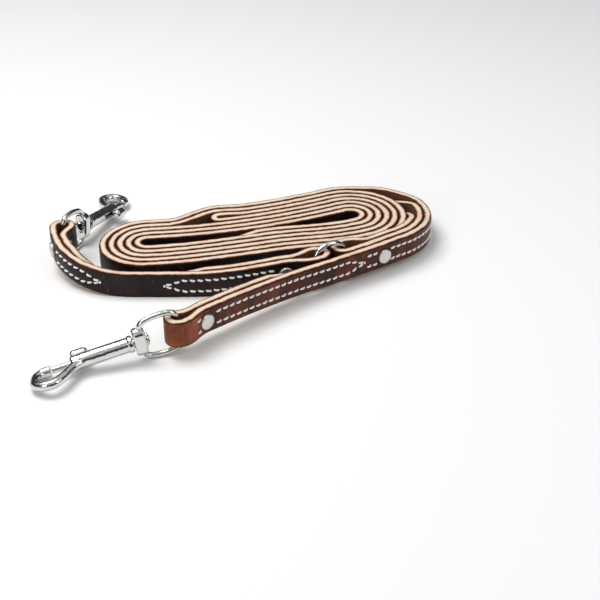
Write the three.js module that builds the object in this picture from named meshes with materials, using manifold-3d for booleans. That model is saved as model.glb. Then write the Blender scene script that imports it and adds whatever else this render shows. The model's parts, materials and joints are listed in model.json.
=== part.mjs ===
// A two-snap leather training leash, rolled up flat on the edge of its strap.
// Millimetres, +Z up. The origin is the middle of the footprint, on the surface it lies on.
import * as THREE from 'three';
import { mergeVertices } from 'three/addons/utils/BufferGeometryUtils.js';
import Module from 'manifold-3d';

const wasm = await Module();
wasm.setup();

// ---------------------------------------------------------------- driving dimensions
const strapWidth = 12.7;          // stands upright, so this is its height
const strapThickness = 3.9;
const layerGap = 0.3;             // between two layers that are sewn together
const turnGap = 0.45;             // between two turns of the roll
const tailTaper = 20;             // length of the pointed end of a folded-back layer
const chordSag = 0.1;             // how far a strap's facets may stand off its true curve
const stationStepMin = 1.8;
const stationStepMax = 8;

const threadRadius = 0.4;
const seamRowSpread = 6.0;        // distance between the two rows of a seam
const seamMargin = 10;            // length over which the two rows close in a V
const seamFromRivet = 5.5;
const seamFromTip = 6;

const rivetHeadRadius = 3.8;
const rivetHeadHeight = 1.1;
const rivetShaftRadius = 1.6;
const rivetBackRadius = 3.2;
const rivetBackThickness = 0.8;
const rivetFromFold = 13.2;
const sharpestUnderCap = 24;      // radius of the sharpest bend of a strap under a flat rivet cap
const capSlack = rivetHeadRadius ** 2 / (2 * sharpestUnderCap);
const clearance = 0.3;            // between pieces that touch

const ringRoom = 4.45;            // between a strap's edge and the outside of the ring
const ringOuterRadius = strapWidth / 2 + ringRoom;
const ringWireRadius = 1.4;

const eyeWireRadius = 1.4;
const eyeRoom = 2.35;             // between the strap's edges and the eye's wire
const eyeHalfHeight = strapWidth / 2 + eyeRoom + eyeWireRadius;
const bossStart = 15.5;           // hinge to the near face of the eye's boss
const bossDepth = 5.5;
const bossWidth = 7;
const bossHeight = 14;
const studRadius = 1.9;
const studHeadRadius = 3.1;
const studHeadHeight = 1.4;
const barrelLength = 28.5;
const barrelRadius = 3.5;
const collarRadius = barrelRadius + 0.5;
const collarLength = 2.6;
const boltGuideLength = 3.2;
const boltRadius = 1.55;
const barrelBore = boltRadius + 0.65;
const boltTravel = 8;
const hookLength = 19.5;          // front of the barrel to the nose
const hookRadius = 2.2;           // half the thickness of the hook's bar
const hookBulge = 12.9;           // axis of the snap to the middle of the bar at its widest
const tipRadius = 2.4;
const tipFromNose = 10.4;         // nose to the face that the bolt closes on
const knobRadius = 2.7;
const knobLength = 8.2;
const knobOffset = 6.6;
const stemRadius = 1.1;
const stemFromFront = 4.6;        // front of the barrel to the knob's stem
const springWire = 0.3;
const springRadius = 1.5;
const springTurns = 6;
const snapPitch = 8.9;            // degrees that a snap slopes down to its nose

const foldRoom = 1.45;            // between a wire and the leather folded round it
const foldRadius = Math.max(eyeWireRadius, ringWireRadius) + foldRoom + strapThickness / 2;   // to the strap's middle
const eyeFromSurface = 1.65;
const snapLift = eyeHalfHeight + eyeWireRadius + eyeFromSurface - strapWidth / 2;   // the strap's lower edge there
const ringFromSurface = 0.05;
const ringLift = ringOuterRadius + ringFromSurface - strapWidth / 2;

// ---------------------------------------------------------------- plan of the roll
const leftCentre = [-60, -2];
const rightCentre = [45, 28.6];
const leftHeading = 5;            // degrees, direction of the roll's long axis at its left end
const rightHeading = 27;
const axisHandle = 37;            // how far the ends hold the axis straight
const leftInnerRadius = 5.2;     // innermost bend, middle of the strap
const rightInnerRadius = 6;
const hairpinRadius = 3.2;        // the fold in the back of the roll where the direction turns
const hairpinAt = 0.37;           // its place along the long axis, 0 at the left end
const hairpinFade = 0.16;         // part of the axis over which its extra width closes
const tailEndAt = 0.34;           // end of the hand loop's sewn tail
const leftHoleTo = 0.44;           // where they have come together again beyond the left hole
const holeFrom = 0.54;           // where the two innermost runs start to part
const stepLength = 0.27;          // over which the outer runs close up beyond the hairpin

const turnPitch = strapThickness + turnGap;
const layerPitch = strapThickness + layerGap;
const tabTipAngle1 = 22;          // ends of the ring tab's two layers round the right-hand bend
const tabTipAngle2 = 52;
const tabStepAngle = 34;
const leaveAngle = -54;           // where the strap leaves the right-hand bend for snap A
const tabClearance = 0.15;
const leaveStraight = 4;          // length that carries the bend's direction into the front stretch
const sinkFromA = 20;             // the strap's height changes between these distances from snap A
const sinkToRing = 90;
const sinkBefore = 10;            // and reaches the surface over this stretch round the bend
const sinkBeyond = 66;
const branchSinkFrom = 12;        // the same for the branch strap, measured from its two ends
const branchSinkTo = 62;
const branchRiseFrom = 60;
const branchRiseTo = 10;

// middle of the strap between snap A and the right-hand bend, chosen by hand
const snapAHinge = [-36.8, -83.8];
const snapAHeading = 200.4;
const strapHeadingAtA = 41;
const frontPoints = [[-17.4, -69.4], [0.3, -54], [17.4, -39.8], [36.7, -26.7], [56.9, -13.3]];

// middle of the branch strap from the ring to snap B, chosen by hand
const branchPoints = [
  [13, -28.9], [0, -31.4], [-14, -32.7], [-32, -33.4], [-52, -33.7], [-70, -33.3],
  [-83, -30.8], [-93.5, -25.2], [-101, -17.2], [-105.6, -7.6],
];
const branchEnd = [-108.2, 2.5];
const branchEndHeading = 99;
const snapBHeading = 68;
const foldBackOnA = 74;           // length of each folded-back layer
const foldBackOnRing = 77.5;
const foldBackOnB = 48;
const seamAEnd = 108;             // seam of snap A, measured from its fold
const ringFromFoldA = 102.5;        // place of the ring tab along the front strap
const ringHeading = 29;
const closing = 11;               // length over which a fold's two layers come together
const ringRadius = ringOuterRadius - ringWireRadius;
const foldReach = Math.sqrt(ringRadius ** 2 - (strapWidth / 2) ** 2) + 0.37;   // ring's centre to a fold's centre
const foldStraight = ringRadius - foldReach + ringWireRadius + 1.3;   // the layers stay parallel past the wire
const rivetFromRing = foldStraight + closing + 2.2;

// ---------------------------------------------------------------- small helpers
const rad = Math.PI / 180;
const mix = (a, b, t) => a + (b - a) * t;
const direction = (degrees) => [Math.cos(degrees * rad), Math.sin(degrees * rad)];
const along = (point, degrees, distance) => {
  const [x, y] = direction(degrees);
  return [point[0] + x * distance, point[1] + y * distance];
};

function smooth(from, to, value) {
  const t = Math.min(1, Math.max(0, (value - from) / (to - from)));
  return t * t * (3 - 2 * t);
}

function range(from, to, step) {
  const count = Math.max(2, Math.round(Math.abs(to - from) / step));
  return Array.from({ length: count + 1 }, (_, i) => mix(from, to, i / count));
}

// A line through many points, measured by its length.
class Route extends THREE.Curve {
  constructor(points) {
    super();
    this.points = points;
    this.lengths = [0];
    for (let i = 1; i < points.length; i += 1) {
      this.lengths.push(this.lengths[i - 1] + points[i].distanceTo(points[i - 1]));
    }
    this.total = this.lengths.at(-1);
  }

  at(distance) {
    const d = Math.min(this.total, Math.max(0, distance));
    let low = 0;
    let high = this.lengths.length - 1;
    while (high - low > 1) {
      const middle = (low + high) >> 1;
      if (this.lengths[middle] <= d) low = middle;
      else high = middle;
    }
    const span = this.lengths[high] - this.lengths[low];
    return this.points[low].clone().lerp(this.points[high], span > 0 ? (d - this.lengths[low]) / span : 0);
  }

  getPoint(t) {
    return this.at(t * this.total);
  }

  heading(distance) {
    const reach = 0.6;
    return this.at(distance + reach).sub(this.at(distance - reach)).normalize();
  }

  // horizontal, to the left of the way the route runs
  side(distance) {
    const t = this.heading(distance);
    return new THREE.Vector3(-t.y, t.x, 0).normalize();
  }

  offset(distance, sideways, up = 0) {
    const p = this.at(distance).addScaledVector(this.side(distance), sideways);
    p.z += up;
    return p;
  }
}

// Evens out the joins between arcs and free stretches.
function evened(points, spacing = 0.5, reach = 3) {
  const raw = new Route(points);
  const count = Math.round(raw.total / spacing);
  const even = Array.from({ length: count + 1 }, (_, i) => raw.at((i / count) * raw.total));
  return new Route(even.map((p, i) => {
    const r = Math.min(reach, i, count - i);
    const sum = new THREE.Vector3();
    for (let k = -r; k <= r; k += 1) sum.add(even[i + k]);
    return sum.divideScalar(2 * r + 1);
  }));
}

const flat = ([x, y], z = 0) => new THREE.Vector3(x, y, z);

function arc(centre, radius, from, to) {
  const step = 0.8 / (typeof radius === 'function' ? radius(from) : radius) / rad;
  return range(from, to, step).map((angle) => {
    const r = typeof radius === 'function' ? radius(angle) : radius;
    return flat(along(centre, angle, r));
  });
}

// ---------------------------------------------------------------- straps
// Distances of the cross-sections, closer together where the strap bends.
function stations(route) {
  const distances = [0];
  while (distances.at(-1) < route.total - stationStepMin) {
    const d = distances.at(-1);
    const reach = 1.5;
    const turn = Math.max(...[0, reach, 2 * reach].map(
      (ahead) => route.side(d + ahead).angleTo(route.side(d + ahead + reach)) / reach,
    ));
    const step = Math.sqrt((8 * chordSag) / Math.max(turn, 1e-3));
    distances.push(Math.min(route.total, d + Math.min(stationStepMax, Math.max(stationStepMin, step))));
  }
  distances[distances.length - 1] = route.total;
  return distances;
}

// A strap follows the middle of its lower edge; halfWidth(distance) may narrow it.
function strapGeometry(route, halfWidth) {
  const distances = stations(route);
  const count = distances.length - 1;
  const corners = [];
  for (const d of distances) {
    const half = halfWidth ? halfWidth(d) : strapWidth / 2;
    const middle = strapWidth / 2;
    for (const [side, up] of [[1, -half], [1, half], [-1, half], [-1, -half]]) {
      corners.push(route.offset(d, (side * strapThickness) / 2, middle + up));
    }
  }
  const index = [0, 2, 1, 0, 3, 2];
  for (let i = 0; i < count; i += 1) {
    for (let k = 0; k < 4; k += 1) {
      const a = 4 * i + k;
      const b = 4 * i + ((k + 1) % 4);
      index.push(a, b + 4, a + 4, a, b, b + 4);
    }
  }
  const e = 4 * count;
  index.push(e, e + 1, e + 2, e, e + 2, e + 3);
  const geometry = new THREE.BufferGeometry().setFromPoints(corners);
  geometry.setIndex(index);
  return geometry;
}

// Narrows to a blunt point over the tail's length.
const tipHalf = 1.2;
function tapered(start, end) {
  return (d) => {
    const fromTip = Math.min(start ? d : Infinity, end ? end - d : Infinity);
    return mix(tipHalf, strapWidth / 2, Math.min(1, fromTip / tailTaper));
  };
}

const longAxis = new THREE.CubicBezierCurve3(
  flat(leftCentre),
  flat(along(leftCentre, leftHeading, axisHandle)),
  flat(along(rightCentre, rightHeading + 180, axisHandle)),
  flat(rightCentre),
);

function besideAxis(t, offset) {
  const p = longAxis.getPoint(t);
  const h = longAxis.getTangent(t);
  return new THREE.Vector3(p.x - h.y * offset, p.y + h.x * offset, 0);
}

const axisLength = longAxis.getLength();
const innerBack = (t) => mix(leftInnerRadius, rightInnerRadius, t);
const hairpinExtra = 2 * hairpinRadius - turnPitch;

// offset of the back runs, counted outward from the innermost
const backRun = (count) => (t) => innerBack(t) + turnPitch * count;
const hairpinUpper = (t) => backRun(4)(t) + hairpinExtra * (1 - smooth(hairpinAt, hairpinAt + hairpinFade, t));
const overHairpin = (t) => {
  if (t >= hairpinAt) return hairpinUpper(t) + turnPitch;
  return backRun(3)(t) + (2 * turnPitch + hairpinExtra) * smooth(hairpinAt - stepLength, hairpinAt, t);
};
const outermost = (t) => {
  const dt = 0.002;
  const slope = (overHairpin(t + dt) - overHairpin(t - dt)) / (2 * dt * axisLength);
  return overHairpin(t) + turnPitch * Math.hypot(1, slope);
};

// offset of the front runs, counted outward from the innermost
const hole = (t) => (2 * rightInnerRadius - turnPitch) * smooth(holeFrom, 1, t)
  + 2 * (leftInnerRadius - turnPitch) * (1 - smooth(0, leftHoleTo, t));
const frontRun = (count) => (t) => innerBack(t) - turnPitch * (count + 1) - hole(t);

const runStep = 0.008;
const run = (offset, from, to) => range(from, to, runStep).map((t) => besideAxis(t, offset(t)));
const rightBend = (count, inward) => {
  const radius = rightInnerRadius + turnPitch * count;
  const [front, back] = [rightHeading - 90, rightHeading + 90];
  return inward ? arc(rightCentre, radius, back, front) : arc(rightCentre, radius, front, back);
};
const leftBend = (count, inward) => {
  const radius = leftInnerRadius + turnPitch * count;
  const [back, front] = [leftHeading + 90, leftHeading + 270];
  return inward ? arc(leftCentre, radius, front, back) : arc(leftCentre, radius, back, front);
};

// Radius of the outermost bend, which the ring tab's two layers hold away from the roll.
const outerRadius = rightInnerRadius + turnPitch * 6;
const tabLayerRadius = (angle) => outerRadius + tabClearance
  + layerPitch * (1 - smooth(tabTipAngle1, tabTipAngle1 + tabStepAngle, angle));
const strapOverTabRadius = (angle) => tabLayerRadius(angle)
  + layerPitch * (1 - smooth(tabTipAngle2, tabTipAngle2 + tabStepAngle, angle));

// front stretch: from the fold of snap A to the outermost bend; both layers of the fold close in evenly
const foldStartA = along(snapAHinge, strapHeadingAtA - 90, foldRadius);
const foldShoulderA = along(
  along(snapAHinge, strapHeadingAtA, closing), strapHeadingAtA - 90, layerPitch / 2,
);
const leavePoint = along(rightCentre, leaveAngle, strapOverTabRadius(leaveAngle));
const frontCurve = new THREE.CatmullRomCurve3(
  [foldStartA, along(foldStartA, strapHeadingAtA, 3), foldShoulderA, ...frontPoints, leavePoint,
    along(leavePoint, leaveAngle + 94, leaveStraight)].map((p) => flat(p)),
  false,
  'centripetal',
);
const frontStretch = frontCurve.getSpacedPoints(320);
while (frontStretch.at(-1).distanceTo(flat(leavePoint)) > 0.6) frontStretch.pop();

function rollPoints() {
  const bulb = besideAxis(hairpinAt, backRun(3)(hairpinAt) + hairpinRadius);
  const h = longAxis.getTangent(hairpinAt);
  const facing = Math.atan2(h.y, h.x) / rad;
  return [
    ...arc(rightCentre, strapOverTabRadius, leaveAngle, rightHeading + 90),
    ...run(outermost, 1, 0), ...leftBend(4, false), ...run(frontRun(5), 0, 1), ...rightBend(5, false),
    ...run(overHairpin, 1, 0), ...leftBend(3, false), ...run(frontRun(4), 0, 1), ...rightBend(4, false),
    ...run(hairpinUpper, 1, hairpinAt),
    ...arc([bulb.x, bulb.y], hairpinRadius, facing + 90, facing + 270),
    ...run(backRun(3), hairpinAt, 1), ...rightBend(3, true), ...run(frontRun(3), 1, 0), ...leftBend(2, true),
    ...run(backRun(2), 0, 1), ...rightBend(2, true), ...run(frontRun(2), 1, 0), ...leftBend(1, true),
    ...run(backRun(1), 0, 1), ...rightBend(1, true), ...run(frontRun(1), 1, 0), ...leftBend(0, true),
    ...run(backRun(0), 0, 1), ...rightBend(0, true), ...run(frontRun(0), 1, tailEndAt),
  ];
}

const faceRoute = evened([...frontStretch, ...rollPoints()]);

// How far a folded-back layer lies from the layer in front, at a distance from the fold.
function foldOffset(distance, straight = 0) {
  return mix(2 * foldRadius, layerPitch, smooth(straight, straight + closing, distance));
}

// Height of the strap's lower edge: raised at its fittings, down on the surface in the roll.
const leaveDistance = frontCurve.getLength() - leaveStraight;
const faceLift = (d) => mix(snapLift, ringLift, smooth(sinkFromA, sinkToRing, d))
  * (1 - smooth(leaveDistance - sinkBefore, leaveDistance + sinkBeyond, d));

function lifted(points, lift) {
  let d = 0;
  return new Route(points.map((p, i) => {
    if (i > 0) d += Math.hypot(p.x - points[i - 1].x, p.y - points[i - 1].y);
    return new THREE.Vector3(p.x, p.y, lift(d));
  }));
}

function layerBehind(route, from, to, offset, step = 0.8) {
  return range(from, to, step).map((d) => route.offset(d, offset(d)));
}

const mainFace = lifted(faceRoute.points, faceLift);
const mainRoute = evened([
  ...layerBehind(mainFace, foldBackOnA, 0.3, (d) => foldOffset(d)),
  ...arc(snapAHinge, foldRadius, strapHeadingAtA + 90, strapHeadingAtA + 270)
    .map((p) => flat([p.x, p.y], snapLift)),
  ...layerBehind(mainFace, 0.3, mainFace.total, () => 0, 0.5),
]);

// ring tab: two layers behind the front stretch, folded round the ring
const tabFoldDistance = ringFromFoldA;
const tabCentreOffset = layerPitch + foldRadius;
const tabFoldCentre = mainFace.offset(tabFoldDistance, tabCentreOffset);
const tabHeading = (() => {
  const t = mainFace.heading(tabFoldDistance);
  return Math.atan2(t.y, t.x) / rad;
})();
const angleAlongBend = (angle) => {
  let d = leaveDistance;
  const target = flat(along(rightCentre, angle, strapOverTabRadius(angle)));
  while (d < mainFace.total) {
    const p = mainFace.at(d);
    if (Math.hypot(p.x - target.x, p.y - target.y) < 0.7) break;
    d += 0.5;
  }
  return d;
};
const tabEnd1 = angleAlongBend(tabTipAngle1) - 1;
const tabEnd2 = angleAlongBend(tabTipAngle2) - 1;
const tabRoute = evened([
  ...layerBehind(mainFace, tabEnd2, tabFoldDistance, () => layerPitch),
  ...arc([tabFoldCentre.x, tabFoldCentre.y], foldRadius, tabHeading - 90, tabHeading - 270)
    .map((p) => flat([p.x, p.y], mainFace.at(tabFoldDistance).z)),
  ...layerBehind(mainFace, tabFoldDistance, tabEnd1, (d) => layerPitch
    + foldOffset(d - tabFoldDistance, foldStraight)),
]);

// ring
const ringCentre = along([tabFoldCentre.x, tabFoldCentre.y], ringHeading + 180, foldReach);
const ringHeight = ringLift + strapWidth / 2;
const branchFold = along(ringCentre, ringHeading + 180, foldReach);

// branch strap
const branchStartHeading = ringHeading + 180 - 6;
const branchStart = along(branchFold, branchStartHeading + 90, foldRadius);
const branchCurve = new THREE.CatmullRomCurve3(
  [branchStart, along(branchStart, branchStartHeading, 6), ...branchPoints, branchEnd,
    along(branchEnd, branchEndHeading, 4)].map((p) => flat(p)),
  false,
  'centripetal',
);
const branchPointsFine = branchCurve.getSpacedPoints(440);
while (branchPointsFine.at(-1).distanceTo(flat(branchEnd)) > 0.5) branchPointsFine.pop();
const branchFlat = evened(branchPointsFine);
const branchLift = (d) => ringLift * (1 - smooth(branchSinkFrom, branchSinkTo, d))
  + snapLift * smooth(branchFlat.total - branchRiseFrom, branchFlat.total - branchRiseTo, d);
const branchFace = lifted(branchFlat.points, branchLift);
const snapBHinge = along(branchEnd, branchEndHeading - 90, foldRadius);
const behindBranch = (distance) => -distance;
const branchRoute = evened([
  ...layerBehind(branchFace, foldBackOnRing, 0.3, (d) => behindBranch(foldOffset(d, foldStraight))),
  ...arc(branchFold, foldRadius, branchStartHeading - 90, branchStartHeading - 270)
    .map((p) => flat([p.x, p.y], ringLift)),
  ...layerBehind(branchFace, 0.3, branchFace.total - 0.3, () => 0, 0.5),
  ...arc(snapBHinge, foldRadius, branchEndHeading + 90, branchEndHeading - 90)
    .map((p) => flat([p.x, p.y], snapLift)),
  ...layerBehind(branchFace, branchFace.total - 0.3, branchFace.total - foldBackOnB,
    (d) => behindBranch(foldOffset(branchFace.total - d))),
]);

// ---------------------------------------------------------------- solids
function solid(geometry) {
  const g = geometry.index ? geometry.clone() : geometry;
  g.deleteAttribute('normal');
  g.deleteAttribute('uv');
  const merged = mergeVertices(g, 1e-4);
  return new wasm.Manifold(new wasm.Mesh({
    numProp: 3,
    vertProperties: new Float32Array(merged.attributes.position.array),
    triVerts: new Uint32Array(merged.index.array),
  }));
}

function geometryOf(manifold) {
  const mesh = manifold.getMesh();
  const geometry = new THREE.BufferGeometry();
  geometry.setAttribute('position', new THREE.BufferAttribute(new Float32Array(mesh.vertProperties), 3));
  geometry.setIndex(new THREE.BufferAttribute(new Uint32Array(mesh.triVerts), 1));
  return geometry;
}

const circle = (radius) => new THREE.Shape().absarc(0, 0, radius, 0, 2 * Math.PI);

function tube(curve, radius, steps, sides = 8) {
  return new THREE.ExtrudeGeometry(circle(radius), { extrudePath: curve, steps, curveSegments: sides });
}

// Turned about X from [x, radius] pairs; the profile starts and ends on the axis.
function turned(profile, sides = 20) {
  const points = profile.map(([x, r]) => new THREE.Vector2(r, x));
  return new THREE.LatheGeometry(points, sides).rotateZ(-Math.PI / 2);
}

const rod = (from, to, radius, sides = 20) => turned([[from, 0], [from, radius], [to, radius], [to, 0]], sides);

// ---------------------------------------------------------------- materials
const leather = new THREE.MeshStandardMaterial({ color: 0x4a2418, roughness: 0.55, metalness: 0 });
const thread = new THREE.MeshStandardMaterial({ color: 0xf2efe8, roughness: 0.8, metalness: 0 });
const nickel = new THREE.MeshStandardMaterial({ color: 0xc9c7c2, roughness: 0.2, metalness: 1 });
const satin = new THREE.MeshStandardMaterial({ color: 0xb9b4ad, roughness: 0.4, metalness: 1 });

const leash = new THREE.Group();

function add(parent, name, geometry, material) {
  const mesh = new THREE.Mesh(geometry, material);
  mesh.name = name;
  parent.add(mesh);
  return mesh;
}

// ---------------------------------------------------------------- rivets and seams
// side is +1 when the layers lie to the left of the route, so the cap is on the other side.
const tabRivetAt = ringFromFoldA + rivetFromRing;
const rivets = [
  { name: 'snap_a', route: mainFace, at: rivetFromFold, layers: 2, side: 1 },
  { name: 'ring_tab', route: mainFace, at: tabRivetAt, layers: 3, side: 1, slack: 0.26 },
  { name: 'branch_ring', route: branchFace, at: rivetFromRing, layers: 2, side: -1, slack: 0.3 },
  { name: 'snap_b', route: branchFace, at: branchFace.total - rivetFromFold, layers: 2, side: -1, slack: 0.55 },
];

function rivetFrame({ route, at, side }) {
  const facing = route.side(at).multiplyScalar(-side);
  const origin = route.at(at);
  origin.z += strapWidth / 2;
  const group = new THREE.Group();
  group.position.copy(origin);
  group.rotation.z = Math.atan2(facing.y, facing.x);
  group.updateMatrix();
  return group;
}

function rivetDepth(layers) {
  return strapThickness / 2 + (layers - 1) * layerPitch;
}

function rivetHole(rivet) {
  const frame = rivetFrame(rivet);
  const beyond = 2.5;
  const depth = rivetDepth(rivet.layers) + beyond;
  const through = rod(-depth, strapThickness / 2 + beyond, rivetShaftRadius + clearance, 14);
  return solid(through.applyMatrix4(frame.matrix));
}

function addRivet(rivet) {
  const group = rivetFrame(rivet);
  leash.add(group);
  const face = strapThickness / 2 + clearance + capSlack;
  const back = -rivetDepth(rivet.layers) - clearance - (rivet.slack ?? 0);
  const cap = turned([
    [face, 0], [face, rivetHeadRadius], [face + 0.35 * rivetHeadHeight, rivetHeadRadius],
    [face + 0.75 * rivetHeadHeight, 0.85 * rivetHeadRadius], [face + rivetHeadHeight, 0.5 * rivetHeadRadius],
    [face + rivetHeadHeight, 0],
  ]);
  const post = turned([
    [back - rivetBackThickness, 0], [back - rivetBackThickness, 0.85 * rivetBackRadius],
    [back - 0.4 * rivetBackThickness, rivetBackRadius], [back, rivetBackRadius], [back, rivetShaftRadius],
    [face - clearance, rivetShaftRadius], [face - clearance, 0],
  ]);
  add(group, `rivet_cap_${rivet.name}`, cap, satin);
  add(group, `rivet_post_${rivet.name}`, post, satin);
}

// Two rows of thread on the outer face that close in a V at the far end.
function seamGeometry(route, from, to, side) {
  const outward = -side * (strapThickness / 2 + clearance + threadRadius);
  const middle = strapWidth / 2;
  const turn = Math.sign(to - from);
  const row = (sign) => range(from, to - turn, 2).map((d) => {
    const spread = mix(2 * threadRadius, seamRowSpread / 2, smooth(0, seamMargin, Math.abs(to - d)));
    return route.offset(d, outward, middle + sign * spread);
  });
  const tip = route.offset(to + turn * 0.2, outward, middle);
  const path = new THREE.CatmullRomCurve3([...row(1), tip, ...row(-1).reverse()], false, 'centripetal');
  return tube(path, threadRadius, Math.round(Math.abs(to - from) * 0.8), 3);
}

const seams = [
  { name: 'seam_snap_a', route: mainFace, from: rivetFromFold + seamFromRivet, to: seamAEnd, side: 1 },
  { name: 'seam_ring_tab', route: mainFace, from: tabRivetAt + rivetHeadRadius, to: tabEnd2 - seamFromTip, side: 1 },
  { name: 'seam_branch_ring', route: branchFace, from: rivetFromRing + seamFromRivet, to: foldBackOnRing, side: -1 },
  {
    name: 'seam_snap_b', route: branchFace, from: branchFace.total - rivetFromFold - seamFromRivet,
    to: branchFace.total - foldBackOnB, side: -1,
  },
];

// ---------------------------------------------------------------- straps and ring as nodes
function withHoles(geometry, names) {
  let body = solid(geometry);
  for (const rivet of rivets.filter((r) => names.includes(r.name))) {
    body = body.subtract(rivetHole(rivet));
  }
  return geometryOf(body);
}

add(leash, 'main_strap',
  withHoles(strapGeometry(mainRoute, tapered(true, mainRoute.total)), ['snap_a', 'ring_tab']), leather);
add(leash, 'branch_strap',
  withHoles(strapGeometry(branchRoute, tapered(true, branchRoute.total)), ['branch_ring', 'snap_b']), leather);
add(leash, 'ring_tab', withHoles(strapGeometry(tabRoute, tapered(true, tabRoute.total)), ['ring_tab']), leather);

const ring = new THREE.TorusGeometry(ringRadius, ringWireRadius, 10, 34);
ring.rotateX(Math.PI / 2).rotateZ(ringHeading * rad).translate(ringCentre[0], ringCentre[1], ringHeight);
add(leash, 'branch_ring', geometryOf(solid(ring)), nickel);

for (const rivet of rivets) addRivet(rivet);
for (const seam of seams) {
  add(leash, seam.name, seamGeometry(seam.route, seam.from, seam.to, seam.side), thread);
}

// ---------------------------------------------------------------- swivel bolt snap
// Local frame: the hinge in the strap's fold is Z, the snap points along +X, the hook bulges to +Y.
const bossEnd = bossStart + bossDepth;
const barrelStart = bossEnd + 0.4;
const barrelFront = barrelStart + barrelLength;
const nose = barrelFront + hookLength;
const tipFace = nose - tipFromNose;
const stemAt = barrelFront - stemFromFront;
const studEnd = barrelStart + 3.6;
const boltStart = stemAt - 6.2;

function eyeGeometry() {
  const half = [
    [bossStart + 2.6, 5.2], [bossStart + 0.6, eyeHalfHeight - 1.5], [bossStart - 4.5, eyeHalfHeight],
    [5, eyeHalfHeight], [1.4, eyeHalfHeight - 0.9], [0, eyeHalfHeight - 3.1], [0, eyeHalfHeight - 5],
  ];
  const upper = half.map(([x, z]) => new THREE.Vector3(x, 0, z));
  const lower = half.map(([x, z]) => new THREE.Vector3(x, 0, -z)).reverse();
  const loop = new THREE.CatmullRomCurve3([...upper, new THREE.Vector3(0, 0, 0), ...lower], false, 'centripetal');
  const cap = (bossHeight - bossWidth) / 2;
  const outline = new THREE.Shape();
  outline.absarc(0, cap, bossWidth / 2, 0, Math.PI);
  outline.absarc(0, -cap, bossWidth / 2, Math.PI, 2 * Math.PI);
  outline.closePath();
  const boss = new THREE.ExtrudeGeometry(outline, {
    depth: bossDepth - 1, bevelEnabled: true, bevelSize: 0.5, bevelThickness: 0.5, bevelOffset: -0.5,
    bevelSegments: 2, curveSegments: 10,
  });
  boss.rotateX(Math.PI / 2).rotateZ(Math.PI / 2).translate(bossStart + 0.5, 0, 0);
  const bore = rod(bossStart - 2, bossEnd + 2, studRadius + clearance);
  return geometryOf(solid(tube(loop, eyeWireRadius, 44, 4)).add(solid(boss)).subtract(solid(bore)));
}

function bodyGeometry() {
  const barrel = turned([
    [barrelStart, 0], [barrelStart, collarRadius - 0.5], [barrelStart + 0.5, collarRadius],
    [barrelStart + collarLength - 0.5, collarRadius], [barrelStart + collarLength, barrelRadius],
    [barrelFront - 0.5, barrelRadius], [barrelFront, barrelRadius - 0.5], [barrelFront, 0],
  ], 28);
  const curve = new THREE.CatmullRomCurve3([
    [barrelFront - 5, 1.1], [barrelFront, 4.1], [barrelFront + 4.6, 9], [barrelFront + 10, 0.985 * hookBulge],
    [nose - hookRadius - 3.4, 0.93 * hookBulge], [nose - hookRadius - 0.4, 9.2],
    [nose - hookRadius, 5.8], [nose - hookRadius - 1.6, 2], [nose - hookRadius - 4.5, 0.15], [tipFace + 1.6, 0],
  ].map(([x, y]) => new THREE.Vector3(x, y, 0)), false, 'centripetal');
  const bar = tube(curve, hookRadius, 32, 5);
  const tip = turned([
    [tipFace, 0], [tipFace, tipRadius - 0.3], [tipFace + 0.3, tipRadius], [tipFace + 3, tipRadius],
    [tipFace + 4.6, hookRadius - 0.4], [tipFace + 4.6, 0],
  ]);
  const webShape = new THREE.Shape([
    [barrelFront - 9, 1], [barrelFront - 6, 3], [barrelFront, 5], [barrelFront + 4.2, 8.2], [barrelFront - 0.6, 1.8],
  ].map(([x, y]) => new THREE.Vector2(x, y)));
  const webThickness = 3.4;
  const web = new THREE.ExtrudeGeometry(webShape, { depth: webThickness, bevelEnabled: false });
  web.translate(0, 0, -webThickness / 2);
  const bore = rod(barrelStart - 1, barrelFront - boltGuideLength, barrelBore);
  const guide = rod(barrelFront - boltGuideLength - 1, tipFace - 0.01, boltRadius + clearance);
  const slotHalf = stemRadius + clearance;
  const slotFrom = stemAt - boltTravel - slotHalf;
  const slot = new THREE.BoxGeometry(stemAt + slotHalf - slotFrom, knobOffset, 2 * slotHalf);
  slot.translate((stemAt + slotHalf + slotFrom) / 2, -knobOffset / 2, 0);
  return geometryOf(
    solid(barrel).add(solid(bar)).add(solid(tip)).add(solid(web))
      .subtract(solid(bore)).subtract(solid(guide)).subtract(solid(slot)),
  );
}

function studGeometry() {
  const headFrom = bossStart - clearance - studHeadHeight;
  return turned([
    [headFrom, 0], [headFrom, studHeadRadius - 1.2], [headFrom + 0.6, studHeadRadius],
    [bossStart - clearance, studHeadRadius], [bossStart - clearance, studRadius], [studEnd, studRadius], [studEnd, 0],
  ]);
}

function boltGeometry() {
  return turned([
    [boltStart, 0], [boltStart, boltRadius + 0.3], [boltStart + 1.4, boltRadius + 0.3],
    [boltStart + 1.4, boltRadius], [tipFace - clearance, boltRadius], [tipFace - clearance, 0],
  ]);
}

function knobGeometry() {
  const half = knobLength / 2;
  const body = turned([
    [-half, 0], [-half, knobRadius - 0.8], [-half + 0.8, knobRadius], [half - 0.8, knobRadius],
    [half, knobRadius - 0.8], [half, 0],
  ]);
  body.translate(stemAt, -knobOffset, 0);
  const stemLength = knobOffset - boltRadius - clearance;
  const stem = new THREE.CylinderGeometry(stemRadius, stemRadius, stemLength, 14);
  stem.translate(stemAt, -boltRadius - clearance - stemLength / 2, 0);
  return geometryOf(solid(body).add(solid(stem)));
}

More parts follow.
